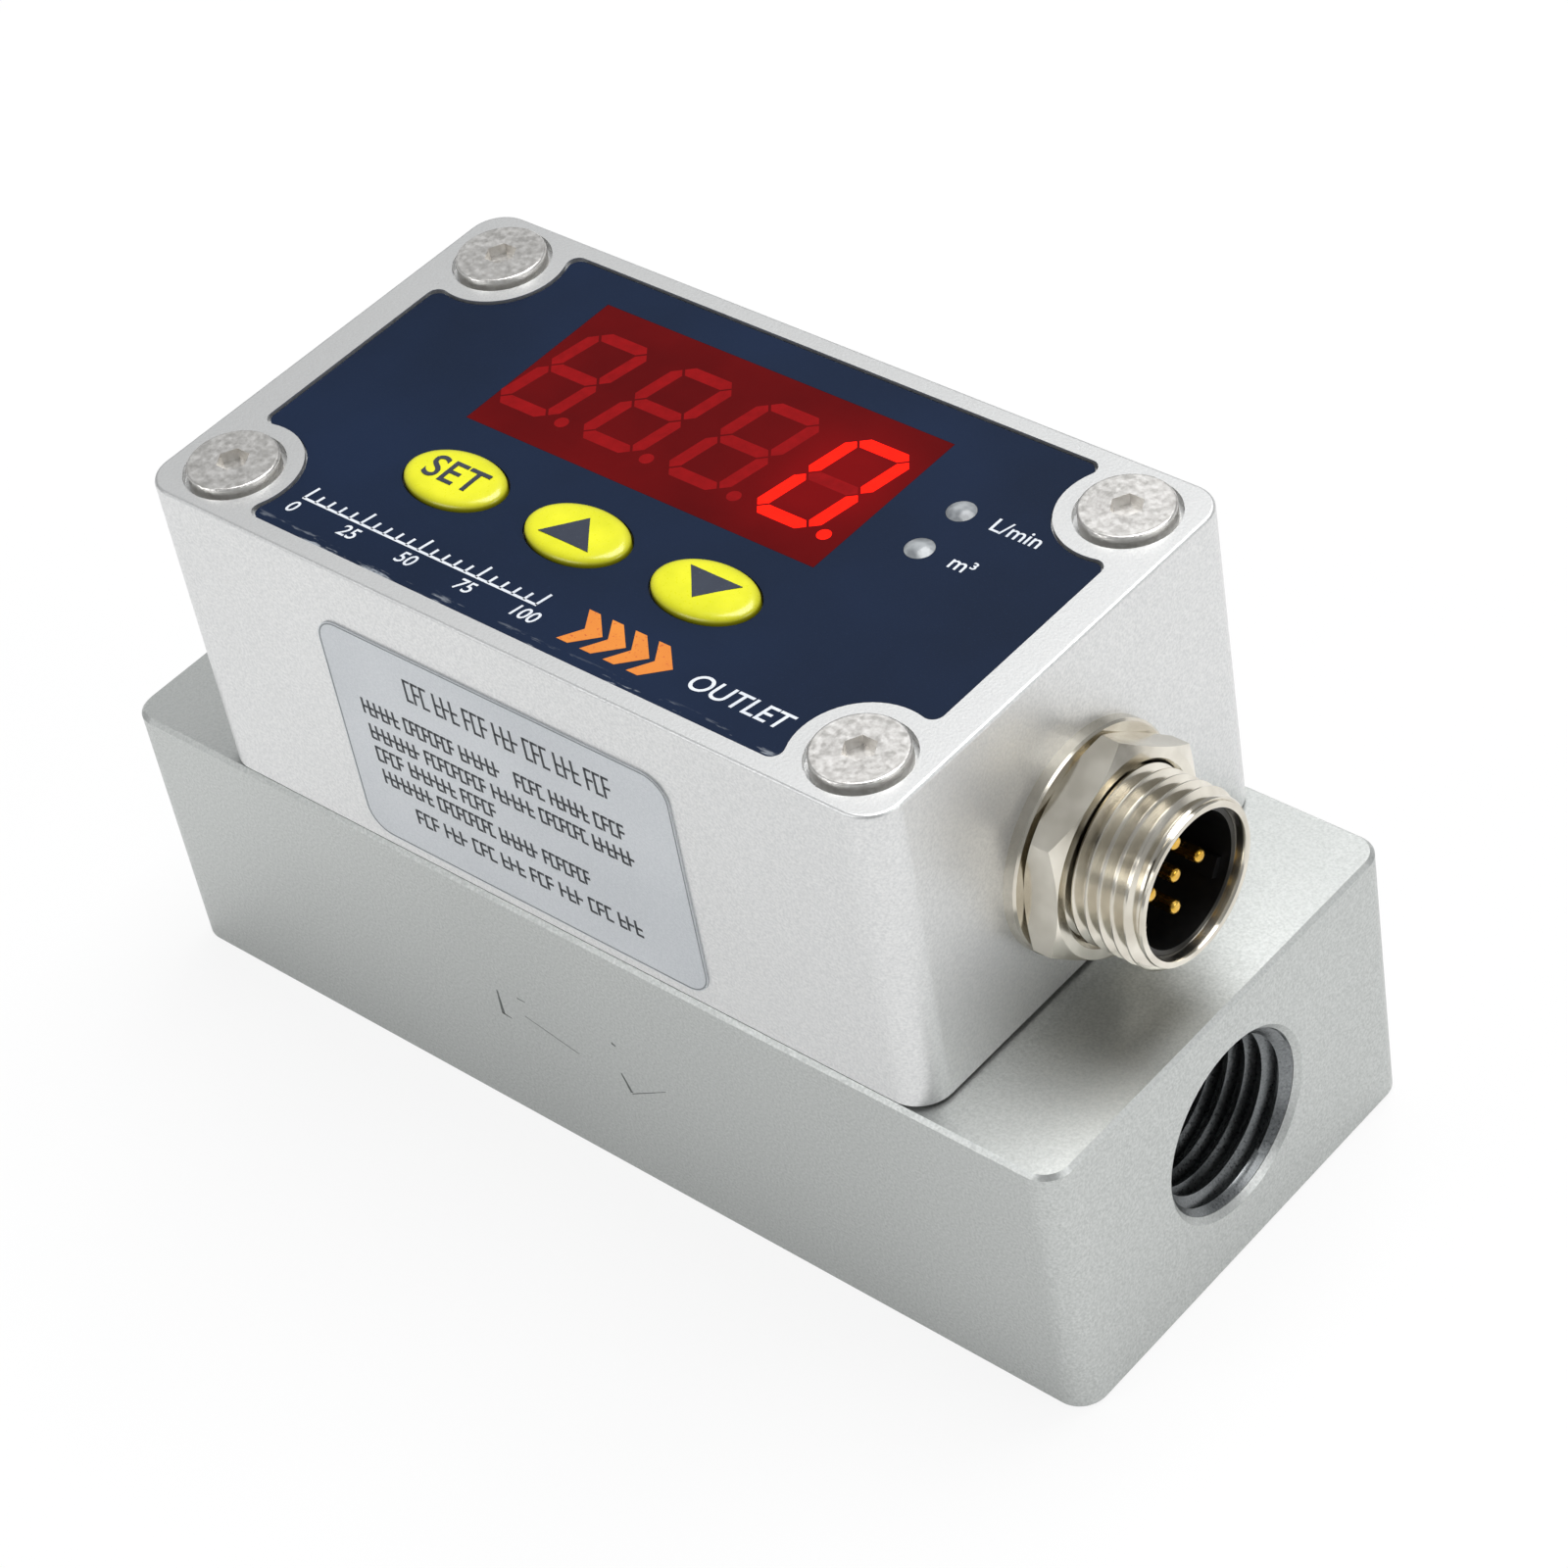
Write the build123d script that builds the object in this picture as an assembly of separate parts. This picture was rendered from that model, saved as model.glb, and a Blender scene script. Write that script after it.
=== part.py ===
from build123d import *
from math import copysign, cos, radians, sin, sqrt, tan
import os

os.makedirs("parts", exist_ok=True)

# Thermal mass flow meter, in millimetres.
# +X is the flow direction, -Y the side with the label, +Z up.
# The origin is the middle of the base block's underside.

# Fits
fit_gap = 0.02          # turned or threaded piece in its bore
slip_gap = 0.15         # loose piece in its opening
film_gap = 0.12         # panel film in its sunk field

# Base block: the flow body
base_overhang = 9.8     # how far each end reaches past the housing
base_corner_radius = 2.0
base_edge_chamfer = 0.3
flow_axis_height = 11.4

# Female ports, G1/4, drawn at the thread's major radius
port_radius = 6.58
port_depth = 12.0
port_chamfer = 0.4

# Flow passage and what is stacked in it, from the inlet on
passage_radius = 5.0
passage_roof = 3.0      # metal between the passage and the sensor's pocket
stack_setback = 0.5     # from each port's floor to the retaining ring
retainer_length = 1.5
retainer_bore_radius = 4.0
screen_thickness = 0.4
screen_hole_across = 0.85   # six-sided perforations
screen_pitch = 1.2
screen_rim = 0.9
straightener_length = 10.0
honeycomb_cell = 1.15   # across the flats of one cell
honeycomb_pitch = 1.4
honeycomb_rim = 0.2
nozzle_entry_radius = 4.2
throat_radius = 2.8
throat_length = 12.0
throat_lead = 11.0      # length of the nozzle's narrowing part
nozzle_ring_section = 0.5
nozzle_ring_inset = 6.5

# Sensor: a carrier in a pocket of the base, with a nose down to the throat
carrier_length = 20.0
carrier_width = 14.0
carrier_thickness = 2.0
carrier_corner_radius = 1.5
nose_radius = 2.0
chip_size = 2.0
chip_thickness = 0.3
nose_ring_section = 0.5
sensor_board_thickness = 1.0
sensor_board_rim = 1.0
sensor_board_rise = 0.6     # board's upper face above the base
sensor_screw_inset = 2.6
sensor_screw_reach = 3.2
thread_end_gap = 0.3        # a screw ends this far above its hole's floor

# Small M2 screws
small_screw_radius = 1.0
small_tapped_radius = small_screw_radius + fit_gap
small_head_radius = 1.8
small_head_height = 1.2
small_drive_across = 1.3
small_drive_depth = 0.6

# Housing: one deep cover milled from aluminium
seal_thickness = 0.3
seal_inset = 0.25
housing_side_inset = 0.15   # housing narrower than the base, each side
housing_corner_radius = 2.5
housing_edge_radius = 0.25
side_wall = 2.2
roof_thickness = 1.6
cavity_corner_radius = 1.2
post_radius = 4.2
field_depth = 0.5

# Housing screws: M3 low head with a hex socket
screw_inset_x = 4.7
screw_inset_y = 4.4
screw_radius = 1.5
screw_engagement = 6.0      # length in the base
screw_head_radius = 3.15
screw_head_height = 1.3
screw_head_edge = 0.15
screw_socket_across = 2.0
screw_socket_depth = 0.8
screw_seat_depth = 0.7
screw_seat_radius = 3.5
tapped_extra = 1.0      # tapped hole deeper than its screw

# Panel film
film_thickness = 0.3
film_margin_x = 2.8
film_margin_y = 1.5
film_notch_radius = 4.8
film_corner_radius = 0.8

# Display module: four slanted seven-segment digits
display_length = 30.1
display_width = 14.0
display_height = 7.0
display_x = -2.0
display_edge_gap = 2.15     # display to the housing's inner wall
digit_count = 4
digit_margin = 2.8      # display's edge to the middle of a top or bottom bar
digit_spacing = 3.2     # from one digit's last bar to the next one's first
digit_slant = 10.0
digit_shift = -0.5
segment_width = 1.0
segment_gap = 0.12
dot_radius = 0.5
dot_offset = 1.35
display_pin_radius = 0.25
display_pin_reach = 1.0
display_pin_spacing = 2.54
display_pin_inset = 1.9
display_pins_per_row = 6

# Keys: oval caps over push switches
key_x = -2.05
key_spacing = 10.85
key_display_gap = 2.73
key_edge_gap = 6.18         # key to the housing's inner wall
key_half_length = 4.0
key_half_width = 2.62
key_rise = 0.55         # above the film
key_edge_radius = 0.35
key_lip = 0.6
key_lip_thickness = 0.8
key_stem_radius = 1.5
key_stem_length = 0.3
key_travel = 0.25
switch_size = 6.0
switch_height = 3.5
switch_corner = 0.5
plunger_radius = 1.7
plunger_gap = 0.1
plunger_depth = 1.2     # plunger's length inside its switch at rest

# Indicator lamps
lamp_display_gap = 4.6
lamp_y = 5.9
lamp_spacing = 4.15
lens_radius = 1.0
lens_lip_radius = 1.3
lens_lip_thickness = 0.8
lens_dome_height = 0.25
lamp_size = 2.0
lamp_height = 1.0

# Boards
board_thickness = 1.6
board_side_room = 6.95      # board past the display's ends, on average
board_gap = 0.7             # board to housing posts and walls
board_room = 9.0            # height between the two boards
board_corner_radius = 1.0
boss_radius = 2.0
boss_inset = 2.2
boss_screw_reach = 3.0
spacer_height = 5.0
spacer_floor = 1.0
spacer_across = 4.0
spacer_stud = 4.0
spacer_inset_x = 3.0
spacer_inset_y = 3.2

# Parts on the main board
header_spacing = 2.0
header_pin_radius = 0.3
header_pin_reach = 0.8
sensor_pins = 4
sensor_header_width = 2.5
sensor_header_x = 3.0
link_rows = 2
link_pins = 5
link_inset = 2.4            # its middle from the display board's edge
chip_body = 7.0
chip_height = 1.2
chip_x = -10.0
chip_lead_count = 8
chip_lead_spacing = 0.8
chip_lead_reach = 1.0
chip_lead_width = 0.3
chip_lead_thickness = 0.2
chip_underside_gap = 0.1
moulded_edge = 0.3
capacitor_radius = 2.5
capacitor_height = 5.4
capacitor_x = -1.6
capacitor_spacing = 7.0
regulator_length = 6.5
regulator_width = 3.5
regulator_height = 1.6
regulator_x = -9.0
regulator_inset = 5.05

# Panel connector: M12 thread, five pins
connector_board_gap = 0.5   # connector's tail below the display board
connector_reach = 8.75      # in front of the housing's end face
thread_radius = 6.0
thread_chamfer = 0.35
thread_start_gap = 0.1      # free thread starts this far in front of the nut
shank_step = 0.25           # plain shank in the wall, thinner than the thread
socket_radius = 4.95
socket_depth = 5.5
socket_lip_chamfer = 0.3
shell_flange_radius = 7.5
shell_flange_thickness = 1.5
shell_tail_radius = 4.8
shell_tail_bore = 4.0
shell_tail_length = 7.0
washer_radius = 7.9
washer_thickness = 0.9
washer_chamfer = 0.15
nut_across = 14.0
nut_thickness = 2.6
nut_turn = 22.0             # how the nut stands, in degrees
nut_bore_chamfer = 0.3
gasket_thickness = 0.5
gasket_inset = 0.3
pin_radius = 0.5
pin_circle_radius = 2.45
pin_turn = -8.0
pin_tip_depth = 1.5         # pin tips behind the mouth
cup_length = 1.6
cup_wall = 0.25
cup_floor = 0.5
key_rib_width = 1.4
key_rib_height = 0.8
key_rib_angle = -32.0
lead_radius = 0.5
lead_straight = 2.4
lead_header_gap = 8.0       # solder cups to lead header
lead_header_length = 3.2
lead_header_height = 5.0
lead_spacing = 2.2
lead_grip = 1.5             # lead's end inside its header

# Side label
label_length = 30.7
label_height = 18.7
label_thickness = 0.12
label_corner_radius = 2.0
label_x = -1.15
label_rise = 0.9            # its lower edge above the seal

# Mounting holes in the underside, M4
mount_hole_radius = 2.0
mount_hole_depth = 7.0
mount_spacing_x = 50.0
mount_edge_inset = 5.5

# Levels, worked out upwards
carrier_bottom = flow_axis_height + passage_radius + passage_roof
sensor_board_bottom = carrier_bottom + carrier_thickness
sensor_board_top = sensor_board_bottom + sensor_board_thickness
base_height = sensor_board_top - sensor_board_rise
base_top = base_height
housing_bottom = base_top + seal_thickness
main_board_bottom = base_top + spacer_height
main_board_top = main_board_bottom + board_thickness
display_board_bottom = main_board_top + board_room
display_board_top = display_board_bottom + board_thickness
field_floor = display_board_top + display_height
film_top = field_floor + film_thickness
roof_under = field_floor - roof_thickness
housing_top = field_floor + field_depth
screw_seat = housing_top - screw_seat_depth
screw_tip = base_top - screw_engagement
connector_height = display_board_bottom - connector_board_gap - shell_tail_radius

# Lengths, worked out from the display outwards
display_board_length = display_length + 2 * board_side_room
screw_x = display_board_length / 2 + board_gap + post_radius
housing_length = 2 * (screw_x + screw_inset_x)
base_length = housing_length + 2 * base_overhang
base_half = base_length / 2
housing_half = housing_length / 2
link_x = link_inset - display_board_length / 2
lamp_x = display_x + display_length / 2 + lamp_display_gap
inner_half = housing_half - side_wall

# Widths, worked out from the display and the keys outwards
panel_width = display_width + key_display_gap + 2 * key_half_width
cavity_width = display_edge_gap + panel_width + key_edge_gap
housing_width = cavity_width + 2 * side_wall
base_width = housing_width + 2 * housing_side_inset
display_y = cavity_width / 2 - display_edge_gap - display_width / 2
key_y = -cavity_width / 2 + key_edge_gap + key_half_width
screw_y = housing_width / 2 - screw_inset_y
board_width = cavity_width - 2 * board_gap
mount_spacing_y = base_width - 2 * mount_edge_inset
regulator_y = board_width / 2 - regulator_inset
boss_x = display_board_length / 2 - boss_inset
boss_y = board_width / 2 - boss_inset
screw_places = [(x, y) for x in (-screw_x, screw_x) for y in (-screw_y, screw_y)]
boss_places = [(x, y) for x in (-boss_x, boss_x) for y in (-boss_y, boss_y)]
key_places = [(key_x + step * key_spacing, key_y) for step in (-1, 0, 1)]
lamp_places = [(lamp_x, lamp_y + step * lamp_spacing / 2) for step in (-1, 1)]

# Flow stack along X
port_floor = base_half - port_depth
stack_end = port_floor - stack_setback
inlet_screen_start = -stack_end + retainer_length
straightener_start = inlet_screen_start + screen_thickness
nozzle_start = straightener_start + straightener_length
nozzle_end = stack_end - retainer_length - screen_thickness
throat_start = nozzle_start + throat_lead
throat_middle = throat_start + throat_length / 2
throat_end = throat_start + throat_length
insert_radius = passage_radius - fit_gap

# Sensor places
nose_end = flow_axis_height + throat_radius
sensor_screw_x = carrier_length / 2 - sensor_screw_inset
sensor_screw_y = carrier_width / 2 - sensor_screw_inset
sensor_screw_places = [
    (throat_middle - sensor_screw_x, sensor_screw_y),
    (throat_middle + sensor_screw_x, -sensor_screw_y),
]

# Connector stations along X
wall_inside = inner_half
wall_outside = housing_half
gasket_start = wall_inside - gasket_thickness
flange_start = gasket_start - shell_flange_thickness
tail_end = flange_start - shell_tail_length
cup_end = tail_end - cup_length
connector_mouth = wall_outside + connector_reach
insulator_face = connector_mouth - socket_depth
pin_tip = connector_mouth - pin_tip_depth
nut_start = wall_outside + washer_thickness
nut_end = nut_start + nut_thickness
pin_angles = [radians(pin_turn + 90 * k) for k in range(4)]
pin_places = [(0.0, 0.0)] + [
    (pin_circle_radius * cos(angle), pin_circle_radius * sin(angle)) for angle in pin_angles
]

# Main board ends clear of the connector's solder cups
main_board_start = -(screw_x - post_radius - board_gap)
main_board_end = cup_end - board_gap
main_board_length = main_board_end - main_board_start
main_board_middle = (main_board_start + main_board_end) / 2
spacer_places = [
    (x, y)
    for x in (main_board_start + spacer_inset_x, main_board_end - spacer_inset_x)
    for y in (-(board_width / 2 - spacer_inset_y), board_width / 2 - spacer_inset_y)
]
lead_header_front = cup_end - lead_header_gap


# Building blocks

def block(x0, x1, y0, y1, z0, z1):
    """A box between two corners."""
    return Pos((x0 + x1) / 2, (y0 + y1) / 2, (z0 + z1) / 2) * Box(x1 - x0, y1 - y0, z1 - z0)


def rod_z(x, y, z0, z1, radius):
    """An upright cylinder."""
    return Pos(x, y, (z0 + z1) / 2) * Cylinder(radius, z1 - z0)


def rod_x(x0, x1, y, z, radius):
    """A cylinder along X."""
    return Pos((x0 + x1) / 2, y, z) * Rot(0, 90, 0) * Cylinder(radius, x1 - x0)


def plate(outline, z0, z1):
    """A flat outline raised from z0 to z1."""
    return Pos(0, 0, z0) * extrude(outline, z1 - z0)


def slab(length, width, radius, z0, z1, x=0.0, y=0.0):
    """A rounded rectangle raised from z0 to z1."""
    return Pos(x, y, 0) * plate(RectangleRounded(length, width, radius), z0, z1)


def turned(points, height):
    """A piece turned about the X direction at a height, from (x, radius) corners."""
    outline = make_face(Polyline(*[(x, r) for x, r in points], close=True))
    return Pos(0, 0, height) * revolve(Plane.XZ * outline, Axis.X)


def group(solids):
    """Several separate solids that are one node."""
    return Compound(children=list(solids))


def small_screw(x, y, seat, reach):
    """M2 pan-head screw whose head sits on a seat and whose shank reaches down."""
    shank = rod_z(x, y, seat - reach, seat, small_screw_radius)
    head = rod_z(x, y, seat, seat + small_head_height, small_head_radius)
    head = fillet(head.faces().sort_by(Axis.Z)[-1].edges(), small_head_height * 0.4)
    top = seat + small_head_height
    drive = RegularPolygon(small_drive_across / sqrt(3), 6)
    return head + shank - Pos(x, y, 0) * plate(drive, top - small_drive_depth, top)


# Base block

def make_base_block():
    body = slab(base_length, base_width, base_corner_radius, 0, base_height)
    body = chamfer(body.faces().sort_by(Axis.Z)[-1].edges(), base_edge_chamfer)
    body = chamfer(body.faces().sort_by(Axis.Z)[0].edges(), base_edge_chamfer)
    bore = [
        (-base_half, 0),
        (-base_half, port_radius + port_chamfer),
        (-base_half + port_chamfer, port_radius),
        (-port_floor, port_radius),
        (-port_floor, passage_radius),
        (port_floor, passage_radius),
        (port_floor, port_radius),
        (base_half - port_chamfer, port_radius),
        (base_half, port_radius + port_chamfer),
        (base_half, 0),
    ]
    body -= turned(bore, flow_axis_height)
    pocket = slab(
        carrier_length + 2 * slip_gap, carrier_width + 2 * slip_gap, carrier_corner_radius,
        carrier_bottom, base_top + 1, throat_middle,
    )
    body -= pocket
    body -= rod_z(throat_middle, 0, flow_axis_height, carrier_bottom, nose_radius + fit_gap)
    ring_room = 2 * nose_ring_section
    body -= rod_z(throat_middle, 0, carrier_bottom - ring_room, carrier_bottom, nose_radius + ring_room)
    for x, y in sensor_screw_places:
        floor = carrier_bottom - sensor_screw_reach - thread_end_gap
        body -= rod_z(x, y, floor, carrier_bottom, small_tapped_radius)
    for x, y in spacer_places:
        body -= rod_z(x, y, base_top - spacer_stud - tapped_extra, base_top, small_tapped_radius)
    for x, y in screw_places:
        body -= rod_z(x, y, screw_tip - tapped_extra, base_top, screw_radius + fit_gap)
    for x in (-mount_spacing_x / 2, mount_spacing_x / 2):
        for y in (-mount_spacing_y / 2, mount_spacing_y / 2):
            body -= rod_z(x, y, 0, mount_hole_depth, mount_hole_radius)
    return body


# What is stacked in the flow passage

def make_retainer(start):
    ring = [
        (start, retainer_bore_radius),
        (start, insert_radius),
        (start + retainer_length, insert_radius),
        (start + retainer_length, retainer_bore_radius),
    ]
    return turned(ring, flow_axis_height)


def make_comb(start, length, across, pitch, rim):
    """A disc across the passage with six-sided holes in rows, inside a solid rim."""
    corner = across / sqrt(3)
    reach = insert_radius - corner - rim
    steps = int(insert_radius / pitch) + 1
    cells = []
    for row in range(-steps, steps + 1):
        for column in range(-2 * steps, 2 * steps + 1):
            x = row * pitch * sqrt(3) / 2
            y = (column + row / 2) * pitch
            if sqrt(x * x + y * y) <= reach:
                cells.append(Pos(x, y) * RegularPolygon(corner, 6))
    comb = extrude(Circle(insert_radius) - cells, length)
    return Pos(start, 0, flow_axis_height) * Rot(0, 90, 0) * comb


def make_screen(start):
    return make_comb(start, screen_thickness, screen_hole_across, screen_pitch, screen_rim)


def make_straightener():
    return make_comb(
        straightener_start, straightener_length, honeycomb_cell, honeycomb_pitch, honeycomb_rim
    )


def nozzle_ring_stations():
    return (nozzle_start + nozzle_ring_inset, nozzle_end - nozzle_ring_inset)


def make_nozzle():
    outer = [(nozzle_start, nozzle_entry_radius), (nozzle_start, insert_radius)]
    groove = nozzle_ring_section + fit_gap
    for station in nozzle_ring_stations():
        outer.append((station - groove, insert_radius))
        outer.append((station - groove, passage_radius - 2 * groove))
        outer.append((station + groove, passage_radius - 2 * groove))
        outer.append((station + groove, insert_radius))
    outer.append((nozzle_end, insert_radius))
    outer.append((nozzle_end, nozzle_entry_radius))
    outer.append((throat_end, throat_radius))
    outer.append((throat_start, throat_radius))
    body = turned(outer, flow_axis_height)
    top = flow_axis_height + passage_radius
    return body - rod_z(throat_middle, 0, flow_axis_height, top, nose_radius + fit_gap)


def make_nozzle_rings():
    middle = passage_radius - nozzle_ring_section - fit_gap
    ring = Torus(middle, nozzle_ring_section)
    return group([
        Pos(station, 0, flow_axis_height) * Rot(0, 90, 0) * ring for station in nozzle_ring_stations()
    ])


# Sensor

def make_sensor_carrier():
    body = slab(
        carrier_length, carrier_width, carrier_corner_radius,
        carrier_bottom, sensor_board_bottom, throat_middle,
    )
    body += rod_z(throat_middle, 0, nose_end, carrier_bottom, nose_radius)
    for x, y in sensor_screw_places:
        body -= rod_z(x, y, carrier_bottom, sensor_board_bottom, small_tapped_radius)
    return body


def make_sensor_chip():
    half = chip_size / 2
    return block(
        throat_middle - half, throat_middle + half, -half, half, nose_end - chip_thickness, nose_end,
    )


def make_sensor_ring():
    section = nose_ring_section - fit_gap
    return Pos(throat_middle, 0, carrier_bottom - nose_ring_section) * Torus(
        nose_radius + nose_ring_section, section
    )


def make_sensor_board():
    board = slab(
        carrier_length - 2 * sensor_board_rim, carrier_width - 2 * sensor_board_rim, board_corner_radius,
        sensor_board_bottom, sensor_board_top, throat_middle,
    )
    for x, y in sensor_screw_places:
        board -= rod_z(x, y, sensor_board_bottom, sensor_board_top, small_tapped_radius)
    for y in header_row(sensor_pins):
        board -= rod_z(
            throat_middle + sensor_header_x, y, sensor_board_bottom, sensor_board_top,
            header_pin_radius + fit_gap,
        )
    return board


def make_sensor_screws():
    reach = sensor_screw_reach + carrier_thickness + sensor_board_thickness
    return group([small_screw(x, y, sensor_board_top, reach) for x, y in sensor_screw_places])


# Pin headers between boards

def header_row(count):
    return [(k - (count - 1) / 2) * header_spacing for k in range(count)]


def make_header(x, rows, count, z0, z1, lower_reach, upper_reach):
    width = sensor_header_width + (rows - 1) * header_spacing
    half = count * header_spacing / 2
    body = block(x - width / 2, x + width / 2, -half, half, z0, z1)
    for px in [x + (r - (rows - 1) / 2) * header_spacing for r in range(rows)]:
        for py in header_row(count):
            body += rod_z(px, py, z0 - lower_reach, z1 + upper_reach, header_pin_radius)
    return body


def header_holes(x, rows, count, z0, z1):
    return [
        rod_z(x + (r - (rows - 1) / 2) * header_spacing, y, z0, z1, header_pin_radius + fit_gap)
        for r in range(rows)
        for y in header_row(count)
    ]


def make_sensor_header():
    return make_header(
        throat_middle + sensor_header_x, 1, sensor_pins, sensor_board_top, main_board_bottom,
        sensor_board_thickness, board_thickness + header_pin_reach,
    )


def make_board_link():
    return make_header(
        link_x, link_rows, link_pins, main_board_top, display_board_bottom,
        board_thickness + header_pin_reach, board_thickness + header_pin_reach,
    )


# Main board

def make_main_board():
    board = slab(
        main_board_length, board_width, board_corner_radius,
        main_board_bottom, main_board_top, main_board_middle,
    )
    for x, y in spacer_places:
        board -= rod_z(x, y, main_board_bottom, main_board_top, small_tapped_radius)
    for hole in header_holes(
        throat_middle + sensor_header_x, 1, sensor_pins, main_board_bottom, main_board_top
    ):
        board -= hole
    for hole in header_holes(link_x, link_rows, link_pins, main_board_bottom, main_board_top):
        board -= hole
    return board


def make_spacers():
    solids = []
    for x, y in spacer_places:
        body = Pos(x, y, 0) * plate(RegularPolygon(spacer_across / sqrt(3), 6), base_top, main_board_bottom)
        body += rod_z(x, y, base_top - spacer_stud, base_top, small_screw_radius)
        body -= rod_z(x, y, base_top + spacer_floor, main_board_bottom, small_tapped_radius)
        solids.append(body)
    return group(solids)


def make_board_screws():
    reach = board_thickness + spacer_height - spacer_floor - thread_end_gap
    return group([small_screw(x, y, main_board_top, reach) for x, y in spacer_places])


def make_controller_chip():
    half = chip_body / 2
    low = main_board_top
    body = block(-half, half, -half, half, low + chip_underside_gap, low + chip_height)
    tip = half + chip_lead_reach
    for k in range(chip_lead_count):
        along = (k - (chip_lead_count - 1) / 2) * chip_lead_spacing
        near, far = along - chip_lead_width / 2, along + chip_lead_width / 2
        body += block(-tip, tip, near, far, low, low + chip_lead_thickness)
        body += block(near, far, -tip, tip, low, low + chip_lead_thickness)
    return Pos(chip_x, 0, 0) * body


def make_regulator():
    body = block(
        regulator_x - regulator_length / 2, regulator_x + regulator_length / 2,
        regulator_y - regulator_width / 2, regulator_y + regulator_width / 2,
        main_board_top, main_board_top + regulator_height,
    )
    return chamfer(body.faces().sort_by(Axis.Z)[-1].edges(), moulded_edge)


def make_capacitors():
    solids = []
    for side in (-1, 1):
        y = side * capacitor_spacing / 2
        can = rod_z(capacitor_x, y, main_board_top, main_board_top + capacitor_height, capacitor_radius)
        can = fillet(can.faces().sort_by(Axis.Z)[-1].edges(), moulded_edge)
        solids.append(can)
    return group(solids)


# Housing

def panel_outline(grow):
    """The panel film's outline: a rectangle notched round the four screws."""
    length = housing_length - 2 * film_margin_x + 2 * grow
    width = housing_width - 2 * film_margin_y + 2 * grow
    outline = Rectangle(length, width)
    for x, y in screw_places:
        far_x = x + copysign(length / 4, x)
        far_y = y + copysign(width / 4, y)
        outline -= Pos(x, y) * Circle(film_notch_radius - grow)
        outline -= Pos(far_x, far_y) * Rectangle(length / 2, width / 2)
    return fillet(outline.vertices(), film_corner_radius)


def key_outline(x, y, grow):
    return Pos(x, y) * Ellipse(key_half_length + grow, key_half_width + grow)


def cavity_outline():
    outline = RectangleRounded(2 * inner_half, cavity_width, cavity_corner_radius)
    reach = housing_length / 2
    for x, y in screw_places:
        half, near = copysign(reach / 2, x), copysign(reach / 2 - post_radius, x)
        outline -= Pos(x, y) * Circle(post_radius)
        outline -= Pos(x + half, y + copysign(reach / 2 - post_radius, y)) * Rectangle(reach, reach)
        outline -= Pos(x + near, y + copysign(reach / 2, y)) * Rectangle(reach, reach)
    return outline


def make_housing():
    body = slab(housing_length, housing_width, housing_corner_radius, housing_bottom, housing_top)
    body = fillet(body.faces().sort_by(Axis.Z)[-1].edges(), housing_edge_radius)
    body -= plate(cavity_outline(), housing_bottom, roof_under)
    body -= plate(panel_outline(film_gap), field_floor, housing_top)
    for x, y in boss_places:
        body += rod_z(x, y, display_board_top, roof_under, boss_radius)
        body -= rod_z(x, y, display_board_top, display_board_top + boss_screw_reach, small_tapped_radius)
    for x, y in screw_places:
        body -= rod_z(x, y, housing_bottom, housing_top, screw_radius + slip_gap)
        body -= rod_z(x, y, screw_seat, housing_top, screw_seat_radius)
    body -= block(
        display_x - display_length / 2 - slip_gap, display_x + display_length / 2 + slip_gap,
        display_y - display_width / 2 - slip_gap, display_y + display_width / 2 + slip_gap,
        roof_under, field_floor,
    )
    for x, y in key_places:
        body -= plate(key_outline(x, y, slip_gap), roof_under, field_floor)
    for x, y in lamp_places:
        body -= rod_z(x, y, roof_under, field_floor, lens_radius + slip_gap)
    body -= rod_x(wall_inside, wall_outside, 0, connector_height, thread_radius + slip_gap)
    return body


def make_housing_seal():
    outline = RectangleRounded(
        housing_length - 2 * seal_inset, housing_width - 2 * seal_inset, housing_corner_radius - seal_inset
    )
    outline -= cavity_outline()
    outline -= [Pos(x, y) * Circle(screw_radius + slip_gap) for x, y in screw_places]
    return plate(outline, base_top, housing_bottom)


def make_housing_screws():
    top = screw_seat + screw_head_height
    solids = []
    for x, y in screw_places:
        head = rod_z(x, y, screw_seat, top, screw_head_radius)
        head = fillet(head.faces().sort_by(Axis.Z)[-1].edges(), screw_head_edge)
        shank = rod_z(x, y, screw_tip, screw_seat, screw_radius)
        hexagon = Pos(x, y) * RegularPolygon(screw_socket_across / sqrt(3), 6)
        solids.append(head + shank - plate(hexagon, top - screw_socket_depth, top))
    return group(solids)


def make_panel_film():
    outline = panel_outline(0)
    outline -= Pos(display_x, display_y) * Rectangle(
        display_length + 2 * fit_gap, display_width + 2 * fit_gap
    )
    outline -= [key_outline(x, y, slip_gap) for x, y in key_places]
    outline -= [Pos(x, y) * Circle(lens_radius + fit_gap) for x, y in lamp_places]
    return plate(outline, field_floor, film_top)


# Display

def segment(x0, y0, x1, y1):
    """One bar of a digit between two corner points, with pointed ends."""
    length = sqrt((x1 - x0) ** 2 + (y1 - y0) ** 2)
    ux, uy = (x1 - x0) / length, (y1 - y0) / length
    half = segment_width / 2
    corners = []
    for along, side in (
        (segment_gap, 0), (segment_gap + half, -half), (length - segment_gap - half, -half),
        (length - segment_gap, 0), (length - segment_gap - half, half), (segment_gap + half, half),
    ):
        corners.append((x0 + ux * along - uy * side, y0 + uy * along + ux * side))
    return corners


def slanted(corners, middle_x):
    """Leans a digit's outline to the right and puts it in place on the panel."""
    lean = tan(radians(digit_slant))
    return [(middle_x + x + y * lean, display_y + y) for x, y in corners]


digit_pitch = display_length / digit_count


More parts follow.
